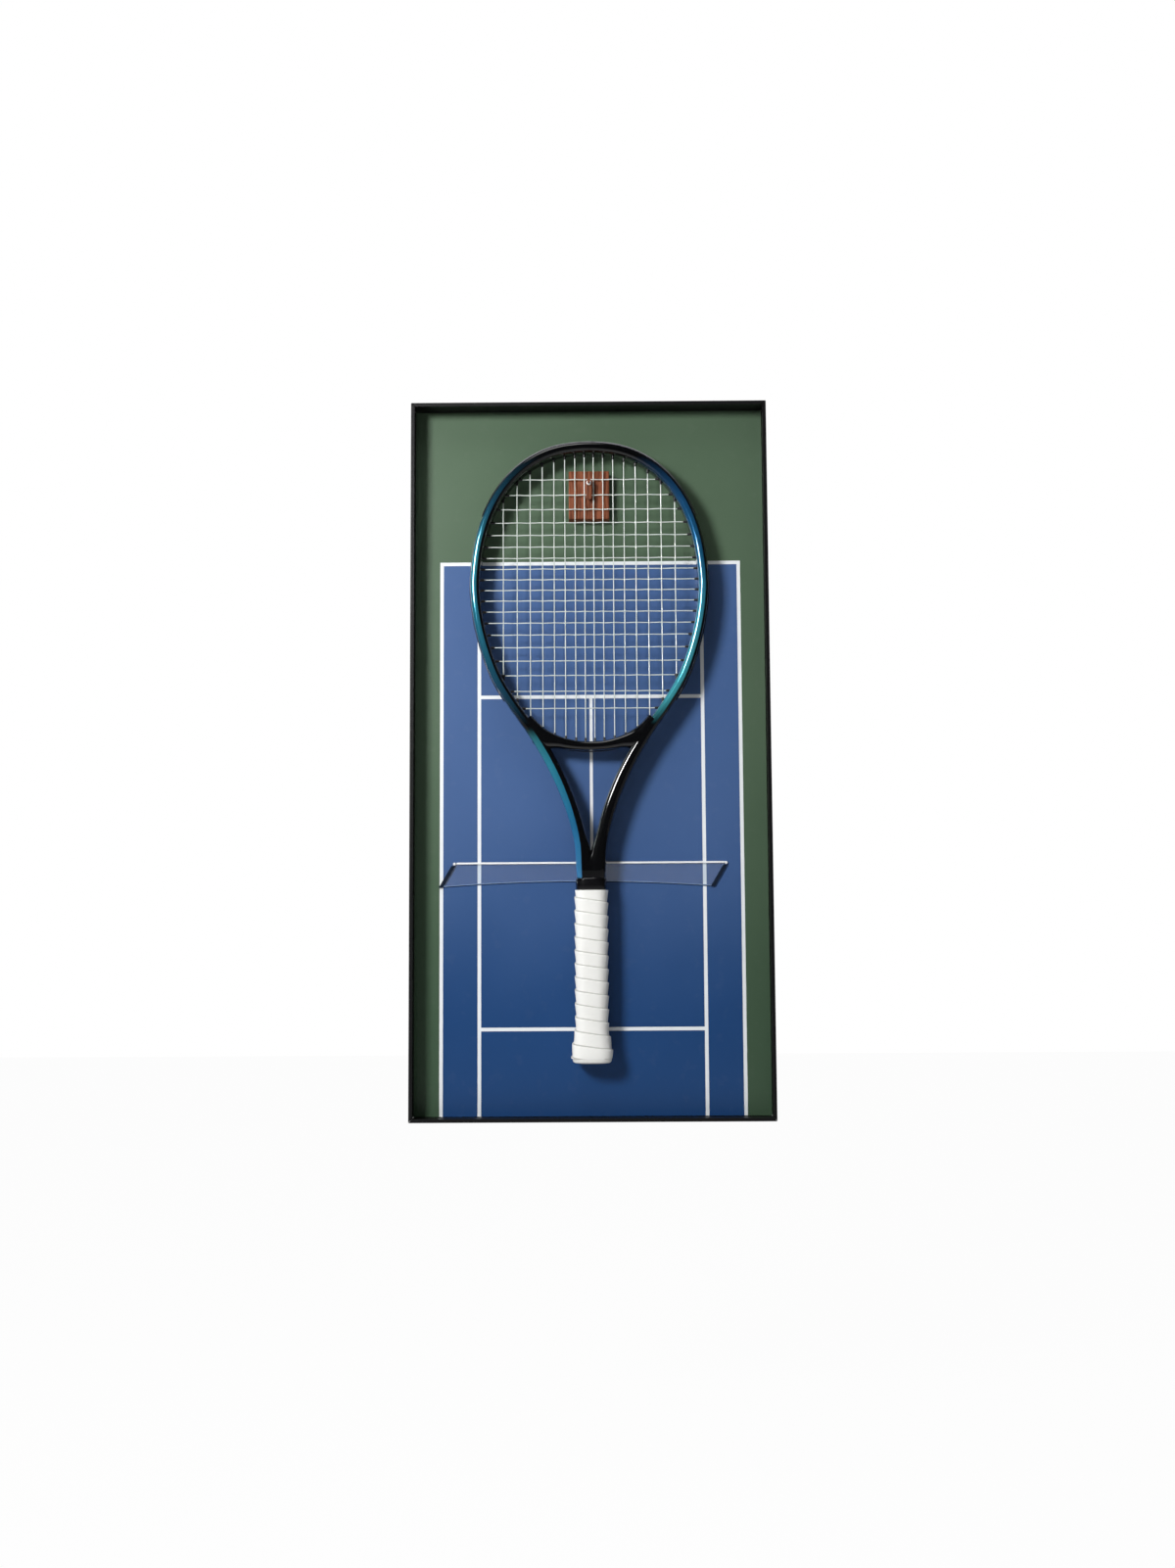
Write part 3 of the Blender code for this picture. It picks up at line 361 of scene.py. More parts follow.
def courtPrint():
    material, tree, shader, where = newFinish("courtPrint", Coat_Weight=0.30, Coat_Roughness=0.13,
                                              Specular_IOR_Level=0.28)
    axes = axesOf(tree, where)
    across = maths(tree, "ABSOLUTE", maths(tree, "SUBTRACT", axes["X"], court["middle"]))
    height = axes["Z"]
    half = court["line"] / 2

    def belowLine(level):
        return maths(tree, "LESS_THAN", height, level + half)

    def insideLine(reach):
        return maths(tree, "LESS_THAN", across, reach + half)

    def acrossLine(level, reach):
        return product(tree, maths(tree, "COMPARE", height, level, half), insideLine(reach))

    def uprightLine(reach):
        return product(tree, maths(tree, "COMPARE", across, reach, half), belowLine(court["top"]))

    between = product(tree, belowLine(court["upperService"]),
                      maths(tree, "GREATER_THAN", height, court["lowerService"]))
    middle = product(tree, maths(tree, "LESS_THAN", across, court["middleLine"] / 2), between)
    lines = biggest(tree, uprightLine(court["outer"]), uprightLine(court["singles"]),
                    acrossLine(court["top"], court["outer"]), acrossLine(court["upperService"], court["singles"]),
                    acrossLine(court["lowerService"], court["singles"]), middle)
    onCourt = product(tree, insideLine(court["outer"]), belowLine(court["top"]))

    # a painted shade darkens both court colours towards the bottom of the board, broken up by a cloudy noise
    drift = maths(tree, "MULTIPLY_ADD", noise(tree, where, court["cloud"], 3.0), court["drift"], height)
    blue = mixColours(tree, remap(tree, drift, *court["blueRise"]), court["blueLow"], court["blue"])
    green = mixColours(tree, remap(tree, drift, *court["greenRise"]), court["greenLow"], court["green"])
    printed = mixColours(tree, lines, mixColours(tree, onCourt, green, blue), court["white"])
    facing = axesOf(tree, addNode(tree, "ShaderNodeTexCoord").outputs["Normal"])["Y"]
    bare = maths(tree, "GREATER_THAN", facing, -0.5)
    fibres = useEffect(tree, "lines", Vector=where, Stretch=(260.0, 260.0, 260.0), Strength=0.05)
    backing = mixColours(tree, fibres["Mask"], court["back"], court["backDark"])
    grain = useEffect(tree, "grain", Vector=where, Scale=300.0, Strength=0.02)
    base = mixColours(tree, bare, printed, backing)
    handled = addWear(tree, shader, where, grain["Normal"], Scale=9.0, Color=base, Tone=0.07, Roughness=0.30,
                      Spread=0.05, Dust=0.008)
    rough = maths(tree, "MULTIPLY_ADD", bare, court["backRoughness"], handled["Roughness"], clamp=True)
    linkAll(tree, shader, Roughness=rough)
    return material


# painted wood and acrylic

woods = {
    "blockWood": {"colour": (0.250, 0.078, 0.035, 1), "dark": (0.105, 0.030, 0.013, 1), "roughness": 0.55},
    "toggleWood": {"colour": (0.210, 0.068, 0.031, 1), "dark": (0.090, 0.026, 0.012, 1), "roughness": 0.50},
}
streakRise = (0.36, 0.62)


def woodFinish(name):
    look = woods[name]
    material, tree, shader, where = newFinish(name, Specular_IOR_Level=0.16)
    lines = useEffect(tree, "lines", Vector=where, Stretch=(420.0, 420.0, 26.0), Sharpness=0.6, Strength=0.45)
    base = mixColours(tree, remap(tree, lines["Mask"], *streakRise), look["dark"], look["colour"])
    addWear(tree, shader, where, lines["Normal"], Scale=70.0, Color=base, Tone=0.16, Roughness=look["roughness"],
            Spread=0.10, Dust=0.008)
    return material


acrylics = {
    "clearAcrylic": {"colour": (0.95, 0.97, 0.99, 1), "roughness": 0.03, "spread": 0.03, "Transmission_Weight": 1.0,
                     "IOR": 1.49, "Specular_IOR_Level": 0.12},
    "smokedAcrylic": {"colour": (0.010, 0.016, 0.030, 1), "roughness": 0.10, "spread": 0.05, "Transmission_Weight": 0.0,
                      "IOR": 1.49, "Specular_IOR_Level": 0.4},
}
# heights and colours of a painted highlight line above a painted shade band along the net plate's curved lower edge,
# and how much of the glass they cover
netEdge = {"bottom": 0.2533, "bow": 0.0055, "lean": 0.0165, "reach": 0.1493, "shade": 0.0009, "line": 0.0009,
           "pale": (0.20, 0.29, 0.46, 1), "dark": (0.004, 0.007, 0.016, 1), "through": (0.86, 0.89, 0.92, 1),
           "share": 0.75}


def acrylicFinish(name):
    look = acrylics[name]
    material, tree, shader, where = newFinish(name, **look)
    grain = useEffect(tree, "grain", Vector=where, Scale=60.0, Strength=0.03)
    addWear(tree, shader, where, grain["Normal"], Scale=35.0, Color=look["colour"], Tone=0.03,
            Roughness=look["roughness"], Spread=look["spread"], Dust=0.01)
    if look["Transmission_Weight"] > 0:
        # light passes on to the board behind, and along the curved lower edge a painted highlight line sits over a
        # painted shade band
        path = addNode(tree, "ShaderNodeLightPath").outputs
        lighting = biggest(tree, path["Is Shadow Ray"], path["Is Diffuse Ray"])
        through = addNode(tree, "ShaderNodeBsdfTransparent", {"Color": netEdge["through"]}).outputs[0]
        axes = axesOf(tree, where)
        along = maths(tree, "DIVIDE", maths(tree, "ADD", axes["X"], netEdge["lean"]), netEdge["reach"])
        bow = maths(tree, "MULTIPLY", maths(tree, "SUBTRACT", 1.0, product(tree, along, along)), netEdge["bow"])
        above = maths(tree, "SUBTRACT", maths(tree, "SUBTRACT", axes["Z"], netEdge["bottom"]), bow)
        # painted shade band along the lower edge, then the painted highlight line just above it
        shade = maths(tree, "LESS_THAN", above, netEdge["shade"])
        paintedHighlightBand = maths(tree, "COMPARE", above, netEdge["shade"] + netEdge["line"] / 2, netEdge["line"] / 2)
        paintedEdgeShader = addNode(tree, "ShaderNodeBsdfDiffuse", {"Color": mixColours(tree, shade, netEdge["pale"],
                                                                          netEdge["dark"])}).outputs[0]
        edged = mixShaders(tree, maths(tree, "MULTIPLY", biggest(tree, shade, paintedHighlightBand), netEdge["share"]),
                           shader.outputs[0], paintedEdgeShader)
        tree.links.new(mixShaders(tree, lighting, edged, through), tree.nodes["Material Output"].inputs["Surface"])
    return material


def dress(material, *names):
    for name in names:
        for slot in nodes[name].material_slots:
            slot.material = material


def namesWith(start):
    return [name for name in nodes if name.startswith(start)]


dress(mouldedFinish("railBlack"), "frame_bottom_rail", "frame_top_rail", "frame_left_stile", "frame_right_stile")
dress(courtPrint(), "court_board")
dress(woodFinish("blockWood"), "hanging_block")
dress(metalFinish("zincPlate"), *namesWith("corner_bracket"))
nickelLook = metalFinish("nickelPlate")
dress(nickelLook, *namesWith("keyhole_plate"))
dress(mouldedFinish("bumperRubber"), *namesWith("wall_bumper"))
dress(mouldedFinish("brownNylon"), "string_sleeve")
dress(mouldedFinish("palletFoam"), "handle_pallet")
dress(acrylicFinish("clearAcrylic"), "net_plate")
dress(acrylicFinish("smokedAcrylic"), *namesWith("net_post"))
dress(mouldedFinish("netWhite"), "net_tape", "net_cap_left", "net_cap_right")
print("CAD nodes dressed")

# shaping helpers


def nameActive(name):
    piece = bpy.context.active_object
    piece.name = name
    piece.data.name = name
    return piece


def sweepRings(name, rings, capped=True, wraps=None):
    # a circle is extruded from ring to ring, and each new ring is put in its place
    clearSelection()
    count = len(rings[0])
    bpy.ops.mesh.primitive_circle_add(vertices=count, radius=0.01)
    piece = nameActive(name)
    bpy.ops.object.mode_set(mode="EDIT")
    marks = {}
    last = list(range(count))
    for k, ring in enumerate(rings):
        if k:
            bpy.ops.mesh.extrude_region_move()
        work = bmesh.from_edit_mesh(piece.data)
        work.verts.ensure_lookup_table()
        work.verts.index_update()
        if k:
            last = [next(edge.other_vert(work.verts[index]).index for edge in work.verts[index].link_edges
                         if edge.other_vert(work.verts[index]).select) for index in last]
        for side, index in enumerate(last):
            work.verts[index].co = ring[side]
            if wraps:
                marks[index] = wraps[k][side]
        bmesh.update_edit_mesh(piece.data)
    if capped:
        bpy.ops.mesh.edge_face_add()
        bpy.ops.mesh.select_all(action="DESELECT")
        work = bmesh.from_edit_mesh(piece.data)
        work.verts.ensure_lookup_table()
        for index in range(count):
            work.verts[index].select = True
        work.select_flush(True)
        bpy.ops.mesh.edge_face_add()
    bpy.ops.mesh.select_all(action="SELECT")
    bpy.ops.mesh.normals_make_consistent(inside=False)
    bpy.ops.object.mode_set(mode="OBJECT")
    if wraps:
        wrap = piece.data.attributes.new("wrap", "FLOAT_VECTOR", "POINT")
        for index, value in marks.items():
            wrap.data[index].vector = value
    return piece


def smoothSides(piece, angle=40):
    selectOnly(piece)
    bpy.ops.object.shade_smooth_by_angle(angle=math.radians(angle))
    return piece


def settle(piece):
    selectOnly(piece)
    bpy.ops.object.transform_apply(location=True, rotation=True, scale=True)
    return piece


def copyOf(piece):
    selectOnly(piece)
    bpy.ops.object.duplicate(linked=False)
    return bpy.context.active_object


def applyModifier(piece, kind, **settings):
    selectOnly(piece)
    made = piece.modifiers.new(kind.lower(), kind)
    for name, value in settings.items():
        setattr(made, name, value)
    bpy.ops.object.modifier_apply(modifier=made.name)
    return piece


def cutAway(piece, tool):
    applyModifier(piece, "BOOLEAN", operation="DIFFERENCE", object=tool, solver="EXACT")
    bpy.data.objects.remove(tool)


def bevelEdges(piece, chosen, offset, segments):
    bpy.ops.object.mode_set(mode="EDIT")
    bpy.ops.mesh.select_all(action="DESELECT")
    work = bmesh.from_edit_mesh(piece.data)
    for edge in work.edges:
        edge.select = chosen(edge)
    work.select_flush(True)
    bmesh.update_edit_mesh(piece.data)
    bpy.ops.mesh.bevel(offset=offset, segments=segments, affect="EDGES")
    bpy.ops.object.mode_set(mode="OBJECT")


def roundBar(sides, radius, length, back, height=0.0):
    # a cylinder that points at the wall
    clearSelection()
    bpy.ops.mesh.primitive_cylinder_add(vertices=sides, radius=radius, depth=length, location=(0, -back, height),
                                        rotation=(math.pi / 2, 0, 0))
    return bpy.context.active_object


def joined(name, pieces):
    clearSelection()
    for piece in pieces:
        piece.select_set(True)
    bpy.context.view_layer.objects.active = pieces[0]
    if len(pieces) > 1:
        bpy.ops.object.join()
    return nameActive(name)


def place(piece, body, slot, material, *replaced):
    piece.data.materials.clear()
    piece.data.materials.append(material)
    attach(piece, body)
    if replaced:
        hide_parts(*replaced)
    return piece


# the racket's line and section, with the part's own sizes

racket = {
    "middleDepth": 0.0265, "top": 0.7544, "headWidth": 0.2686, "widestDown": 0.1716, "squareness": 2.255,
    "hoopWidth": 0.0118, "armWidth": 0.0144, "hoopDepth": 0.0240, "armDepth": 0.0222, "armBlend": 0.0900,
    "tubeFromMiddle": 0.0090, "coreWidth": 0.0268, "coreDepth": 0.0180, "bridgeDown": 0.3453, "bridgeWidth": 0.0110,
    "bridgeDepth": 0.0200, "bridgeRadius": 0.1600, "bridgeShare": 0.540, "bridgeUpturn": 0.0125, "collarDown": 0.4913,
    "collarLength": 0.0130, "gripDown": 0.5046, "intoGrip": 0.0043, "coreEase": 0.001, "tubeSquareness": 3.2,
    "sides": 28, "stepsPerKnot": 6, "guard": 0.0012, "strip": 0.0006, "gap": 0.0003,
    "headSide": [(0.948, 0.261), (0.831, 0.527), (0.684, 0.717), (0.516, 0.891)],
    "throatSide": [(0.373, 0.069), (0.247, 0.288), (0.151, 0.514), (0.091, 0.733), (0.077, 0.911)],
}
sideHalf = racket["headWidth"] / 2 - racket["strip"] - racket["gap"] - racket["hoopWidth"] / 2


def easeIn(share):
    share = min(max(share, 0.0), 1.0)
    return share * share * (3 - 2 * share)


def racketPoint(across, down, depth=0.0):
    return Vector((across, -(racket["middleDepth"] + depth), racket["top"] - down))


def curveThrough(points, before, steps):
    knots = [Vector(point) for point in [before] + points + [points[-1]]]
    out = []
    for p0, p1, p2, p3 in zip(knots, knots[1:], knots[2:], knots[3:]):
        for step in range(steps):
            t = step / steps
            out.append(0.5 * (2 * p1 + (p2 - p0) * t + (2 * p0 - 5 * p1 + 4 * p2 - p3) * t * t
                              + (3 * p1 - p0 - 3 * p2 + p3) * t ** 3))
    return out + [knots[-1]]


def halfLine():
    rise = racket["widestDown"] - racket["guard"] - racket["gap"] - racket["hoopWidth"] / 2
    power = 2 / racket["squareness"]
    knots = []
    for k in range(8):
        turn = math.pi / 2 * k / 8
        knots.append((sideHalf * math.sin(turn) ** power, racket["widestDown"] - rise * math.cos(turn) ** power))
    knots.append((sideHalf, racket["widestDown"]))
    headWay = racket["bridgeDown"] - racket["widestDown"]
    throatWay = racket["collarDown"] - racket["bridgeDown"]
    knots += [(sideHalf * across, racket["widestDown"] + headWay * share) for across, share in racket["headSide"]]
    knots += [(sideHalf * across, racket["bridgeDown"] + throatWay * share) for across, share in racket["throatSide"]]
    knots += [(racket["tubeFromMiddle"], racket["collarDown"]),
              ((racket["coreWidth"] / 2 - racket["coreEase"]) / 2, racket["gripDown"] + racket["intoGrip"])]
    return curveThrough(knots, (-knots[1][0], knots[1][1]), racket["stepsPerKnot"])


def bridgePoint(across, lower=0.0):
    share = across / (sideHalf * racket["bridgeShare"])
    rise = racket["bridgeRadius"] - math.sqrt(racket["bridgeRadius"] ** 2 - across ** 2)
    return Vector((across, racket["bridgeDown"] - rise - racket["bridgeUpturn"] * share ** 4 + lower))


def intoHandle(down):
    start = racket["collarDown"] - racket["collarLength"]
    return easeIn((down - start) / (racket["gripDown"] - start))


def tubeWidth(down):
    arm = easeIn((down - racket["bridgeDown"] + racket["armBlend"] / 2) / racket["armBlend"])
    wide = racket["hoopWidth"] + (racket["armWidth"] - racket["hoopWidth"]) * arm
    return wide + (racket["coreWidth"] / 2 - racket["coreEase"] - wide) * intoHandle(down)


def tubeDepth(down):
    arm = easeIn((down - racket["widestDown"]) / (racket["bridgeDown"] - racket["widestDown"]))
    deep = racket["hoopDepth"] + (racket["armDepth"] - racket["hoopDepth"]) * arm
    return deep + (racket["coreDepth"] - racket["coreEase"] - deep) * intoHandle(down)


def framesAlong(line, widthAt, depthAt):
    frames = []
    for k, point in enumerate(line):
        along = (line[min(k + 1, len(line) - 1)] - line[max(k - 1, 0)]).normalized()
        frames.append((point, Vector((along.y, -along.x)), widthAt(point.y), depthAt(point.y)))
    return frames


fork = {"start": 0.430, "tip": 0.4617, "slope": 0.33, "past": 0.0030, "ease": 0.012}


def inwardReach(point, width):
    # the inner sides of the arms close to a V above the collar
    edge = max(-fork["past"], fork["slope"] * (fork["tip"] - point.y))
    return max(0.0, abs(point.x) - width / 2 - edge) * easeIn((point.y - fork["start"]) / fork["ease"])


def aroundTube(section, turn, gap=0.0):
    point, outwards, width, depth = section
    c, s = math.cos(turn), math.sin(turn)
    if c < 0:
        width += 2 * inwardReach(point, width)
    power = racket["tubeSquareness"]
    size = (abs(c) ** power + abs(s) ** power) ** (-1 / power)
    flat = point + outwards * ((width / 2 * size + gap) * c)
    return racketPoint(flat.x, flat.y, (depth / 2 * size + gap) * s)


def tubeRing(section, sides):
    return [aroundTube(section, math.tau * k / sides) for k in range(sides)]


def cutFrames(sections, start, end):
    # the sections between two distances along their line
    out, travelled = [], 0.0
    for section, after in zip(sections, sections[1:]):
        if start <= travelled <= end:
            out.append(section)
        travelled += (after[0] - section[0]).length
    return out


def bothSides(sections):
    # sections from the middle outwards, completed with their mirror image
    mirrored = [(Vector((-point.x, point.y)), Vector((-outwards.x, outwards.y)), width, depth)
                for point, outwards, width, depth in sections]
    return mirrored[:0:-1] + sections


rightHalf = framesAlong(halfLine(), tubeWidth, tubeDepth)
wholeTube = bothSides(rightHalf)


# racket frame

bridge = {"steps": 24, "flareStart": 0.12, "flareEnd": 0.70, "flare": 0.0036, "depthFlare": 0.0022, "reach": 1.02,
          "corner": 0.0080, "cornerStart": 0.45, "cornerFull": 0.76, "cornerEnd": 0.90}
web = {"start": 0.4645, "end": 0.5043, "halfWidth": 0.0074, "round": 0.0110, "sunk": 0.0008, "tipShare": 0.25,
       "steps": 20, "sides": 20}
paint = {
    "black": (0.0022, 0.0024, 0.0030, 1),
    "leftStops": [(0.12, (0.010, 0.055, 0.100, 1)), (0.38, (0.020, 0.150, 0.230, 1)), (0.62, (0.035, 0.240, 0.310, 1)),
                  (0.80, (0.012, 0.070, 0.120, 1))],
    "rightStops": [(0.10, (0.060, 0.360, 0.420, 1)), (0.40, (0.040, 0.280, 0.380, 1)), (0.62, (0.012, 0.110, 0.230, 1)),
                   (0.84, (0.010, 0.070, 0.180, 1))],
    "armStops": [(0.00, (0.060, 0.270, 0.540, 1)), (0.35, (0.022, 0.180, 0.380, 1)), (0.75, (0.030, 0.250, 0.360, 1)),
                 (1.00, (0.030, 0.170, 0.190, 1))],
    "headLow": 0.432, "headHigh": 0.735, "leftInner": (-0.34, -0.10), "leftOuter": (0.93, 0.80),
    "rightInner": (-0.96, -0.84), "rightOuter": (0.42, 0.18), "rightFront": (-0.35, -0.05),
    "armLow": 0.263, "armHigh": 0.430, "armStart": (0.261, 0.265), "armStop": (0.430, 0.410), "armSlant": 0.34,
    "armInner": (-0.24, -0.17), "armFront": (-0.60, -0.45), "pinstripe": (0.26, 0.30, 0.30, 1), "stripe": -0.72,
    "stripeHalf": 0.020, "stripeStart": (0.292, 0.302), "stripeStop": (0.446, 0.426),
    "metallic": 0.45, "flakes": 2600.0, "flakeRise": (0.25, 0.75, 0.7, 1.0),
}
unpainted = (1.0, 0.0, -1.0)


def racketPaint():
    # the bands follow the wrap attribute: side of the racket, outwards and to the front
    material, tree, shader, where = newFinish("racketPaint", Coat_Weight=1.0, Coat_Roughness=0.04,
                                              Specular_IOR_Level=0.10)
    wrap = axesOf(tree, addNode(tree, "ShaderNodeAttribute", attribute_name="wrap").outputs["Vector"])
    outer, front = wrap["Y"], wrap["Z"]
    height = axesOf(tree, where)["Z"]
    onLeft = maths(tree, "LESS_THAN", wrap["X"], 0.0)
    onRight = maths(tree, "SUBTRACT", 1.0, onLeft)

    def band(value, edge):
        return remap(tree, value, *paint[edge])

    def headRamp(stops):
        share = remap(tree, height, paint["headLow"], paint["headHigh"], smoothed=False)
        return ramp(tree, share, [(0.00, paint["black"]), *paint[stops], (1.00, paint["black"])])

    leftBand = product(tree, onLeft, band(outer, "leftInner"), band(outer, "leftOuter"))
    # on the right the blue-teal paint band also covers the inner side and grows brightest low down: paint with a
    # painted highlight in it
    rightBand = product(tree, onRight, band(outer, "rightOuter"), band(outer, "rightInner"), band(front, "rightFront"))
    headMask = product(tree, maths(tree, "GREATER_THAN", height, paint["headLow"]), biggest(tree, leftBand, rightBand))
    head = mixColours(tree, headMask, paint["black"],
                      mixColours(tree, onLeft, headRamp("rightStops"), headRamp("leftStops")))
    armShare = remap(tree, height, paint["armLow"], paint["armHigh"], smoothed=False)
    narrowed = maths(tree, "SUBTRACT", outer, maths(tree, "MULTIPLY_ADD", armShare, -paint["armSlant"],
                                                    paint["armSlant"]))
    armMask = product(tree, onLeft, band(narrowed, "armInner"), band(front, "armFront"), band(height, "armStart"),
                      band(height, "armStop"))
    arm = mixColours(tree, armMask, head, ramp(tree, armShare, paint["armStops"]))
    # a pale painted highlight line along the inner edge of the right arm, where the key lamp's reflection falls
    stripe = product(tree, onRight, maths(tree, "COMPARE", outer, paint["stripe"], paint["stripeHalf"]),
                     maths(tree, "GREATER_THAN", front, 0.0), band(height, "stripeStart"), band(height, "stripeStop"))
    flakes = addNode(tree, "ShaderNodeTexVoronoi", {"Vector": where, "Scale": paint["flakes"]}).outputs["Distance"]
    painted = maths(tree, "MULTIPLY", biggest(tree, headMask, armMask), paint["metallic"])
    sparkle = maths(tree, "MULTIPLY", painted, remap(tree, flakes, *paint["flakeRise"]))
    grain = useEffect(tree, "grain", Vector=where, Scale=240.0, Strength=0.02)
    addWear(tree, shader, where, grain["Normal"], Scale=45.0, Color=mixColours(tree, stripe, arm, paint["pinstripe"]),
            Tone=0.08, Roughness=0.15, Spread=0.05, Dust=0.002)
    linkAll(tree, shader, Metallic=sparkle)
    return material


def ringWraps(sections, sides):
    return [[(1.0 if section[0].x >= 0 else -1.0, math.cos(math.tau * k / sides), math.sin(math.tau * k / sides))
             for k in range(sides)] for section in sections]


def buildBridge(sides):
    reach = sideHalf * racket["bridgeShare"] * bridge["reach"]
    line = [bridgePoint(reach * k / bridge["steps"]) for k in range(bridge["steps"] + 1)]
    sections = framesAlong(line, lambda down: racket["bridgeWidth"], lambda down: racket["bridgeDepth"])
    flared = []
    for point, outwards, width, depth in sections:
        share = easeIn((point.x / reach - bridge["flareStart"]) / (bridge["flareEnd"] - bridge["flareStart"]))
        rise = (point.x / reach - bridge["cornerStart"]) / (bridge["cornerFull"] - bridge["cornerStart"])
        fall = (bridge["cornerEnd"] - point.x / reach) / (bridge["cornerEnd"] - bridge["cornerFull"])
        corner = bridge["corner"] * easeIn(rise) * easeIn(fall)
        flared.append((point - outwards * corner / 2, outwards, width + bridge["flare"] * share + corner,
                       depth + bridge["depthFlare"] * share))
    whole = bothSides(flared)
    return sweepRings("bridgeTube", [tubeRing(section, sides) for section in whole],
                      wraps=[[unpainted] * sides for section in whole])


def buildWeb():
    # fills the fork between the arms above the collar
    rings = []
    for k in range(web["steps"] + 1):
        share = k / web["steps"]
        down = web["start"] + (web["end"] - web["start"]) * share
        rounding = min((down - web["start"]) / web["round"], 1.0)
        halfWidth = web["halfWidth"]
        full = web["tipShare"] + (1 - web["tipShare"]) * math.sqrt(1 - (1 - rounding) ** 2)
        halfDepth = (tubeDepth(down) / 2 - web["sunk"]) * full
        ring = []
        for n in range(web["sides"]):
            turn = math.tau * n / web["sides"]
            c, s = math.cos(turn), math.sin(turn)
            size = ((abs(c) / halfWidth) ** 4 + (abs(s) / halfDepth) ** 4) ** -0.25
            ring.append(racketPoint(size * c, down, size * s))
        rings.append(ring)
    return sweepRings("forkWeb", rings, wraps=[[unpainted] * web["sides"] for ring in rings])


tube = sweepRings("racketTube", [tubeRing(section, racket["sides"]) for section in wholeTube],
                  wraps=ringWraps(wholeTube, racket["sides"]))
racketBody = joined("racketMoulding", [tube, buildBridge(racket["sides"]), buildWeb()])
place(smoothSides(racketBody, 50), "racket", "racket_lacquer", racketPaint(), "racket_frame")
print("racket moulding built")

# bumper guard, grommet strips and barrels

guard = {"reach": 0.1500, "halfTurn": 47.0, "points": 12, "thickness": 0.00145, "edge": 0.30, "groove": 0.0006,
         "grooveTurn": 8.0}
strips = {"start": 0.1503, "endDown": 0.2950, "halfTurn": 17.0, "points": 5, "thickness": 0.0009, "edge": 0.5,
          "bridgeReach": 0.0340, "bridgeSteps": 12, "sunk": 0.0002}
barrel = {"inner": 0.0013, "outer": 0.0017, "length": 0.0056, "sunk": 0.0018, "edge": 0.0003, "sides": 10}


def bandRing(section, halfTurn, points, thicknessAt, middleTurn=0.0):
    turns = [middleTurn + math.radians(halfTurn * (2 * k / (points - 1) - 1)) for k in range(points)]
    inner = [aroundTube(section, turn, -strips["sunk"]) for turn in turns]
    outer = [aroundTube(section, turn, thicknessAt(math.degrees(turn - middleTurn))) for turn in reversed(turns)]
    return inner + outer


def guardThickness(turn):
    share = abs(turn) / guard["halfTurn"]
    full = guard["thickness"] * (1 - (1 - guard["edge"]) * share ** 5)
    return full - guard["groove"] * (1 - easeIn(abs(turn) / guard["grooveTurn"]))


def stripThickness(turn):
    return strips["thickness"] * (1 - strips["edge"] * (abs(turn) / strips["halfTurn"]) ** 3)


# the paler colour rises with height towards the top of the head: a painted highlight along the guard's top as well as
# scuffing
scuffAndPaintedHighlight = {"dark": (0.020, 0.020, 0.023, 1), "worn": (0.235, 0.235, 0.255, 1), "rise": (0.690, 0.752),
           "patch": 90.0, "patchRise": (0.1, 0.5)}


def guardFinish():
    # black nylon, paler towards the top of the head in patches: scuffs there, and a painted highlight along the top
    material, tree, shader, where = newFinish("guardNylon", Specular_IOR_Level=0.5)
    share = product(tree, remap(tree, axesOf(tree, where)["Z"], *scuffAndPaintedHighlight["rise"]),
                    remap(tree, noise(tree, where, scuffAndPaintedHighlight["patch"], 4.0), *scuffAndPaintedHighlight["patchRise"]))
    grain = useEffect(tree, "grain", Vector=where, Scale=1300.0, Strength=0.25)
    addWear(tree, shader, where, grain["Normal"], Scale=60.0, Tone=0.2, Roughness=0.30, Spread=0.08, Dust=0.01,
            Color=mixColours(tree, share, scuffAndPaintedHighlight["dark"], scuffAndPaintedHighlight["worn"]))
    return material


nylon = mouldedFinish("stripNylon")
guardSections = bothSides(cutFrames(rightHalf, 0.0, guard["reach"]))
guardPiece = sweepRings("bumperGuard", [bandRing(section, guard["halfTurn"], guard["points"], guardThickness)
                                        for section in guardSections])
place(smoothSides(guardPiece), "racket", "nylon_black", guardFinish(), "bumper_guard")

stripSections = [section for section in cutFrames(rightHalf, strips["start"], 1.0) if section[0].y < strips["endDown"]]
for word, sign in (("Left", -1), ("Right", 1)):
    rings = [[Vector((sign * p.x, p.y, p.z)) for p in bandRing(section, strips["halfTurn"], strips["points"],
                                                               stripThickness)] for section in stripSections]
    place(smoothSides(sweepRings("grommetStrip" + word, rings)), "racket", "nylon_black", nylon,
          "grommet_strip_" + word.lower())

bridgeLine = [bridgePoint(strips["bridgeReach"] * k / strips["bridgeSteps"]) for k in range(strips["bridgeSteps"] + 1)]
underBridge = bothSides(framesAlong(bridgeLine, lambda down: racket["bridgeWidth"],
                                    lambda down: racket["bridgeDepth"]))
throatRings = [bandRing(section, strips["halfTurn"], strips["points"], stripThickness, math.pi)
               for section in underBridge]
place(smoothSides(sweepRings("throatGrommetStrip", throatRings)), "racket", "nylon_black", nylon,
      "throat_grommet_strip")
print("guard and strips built")

# strings

strings = {"radius": 0.00056, "weave": 0.00060, "mains": 16, "middleGap": 0.0103, "mainGap": 0.0106,
           "mainGrowth": 0.00082, "crosses": 19, "firstCross": 0.0426, "crossGap": 0.0120, "crossGrowth": 0.00009,
           "sunk": 0.0030, "clear": 0.0020, "pointsPerGap": 4, "roundness": 2}


def crossingsOf(line, value, axis):
    found = []
    for a, b in zip(line, line[1:]):
        if (a[axis] - value) * (b[axis] - value) < 0:
            share = (value - a[axis]) / (b[axis] - a[axis])
            found.append(a[1 - axis] + share * (b[1 - axis] - a[1 - axis]))
    return found


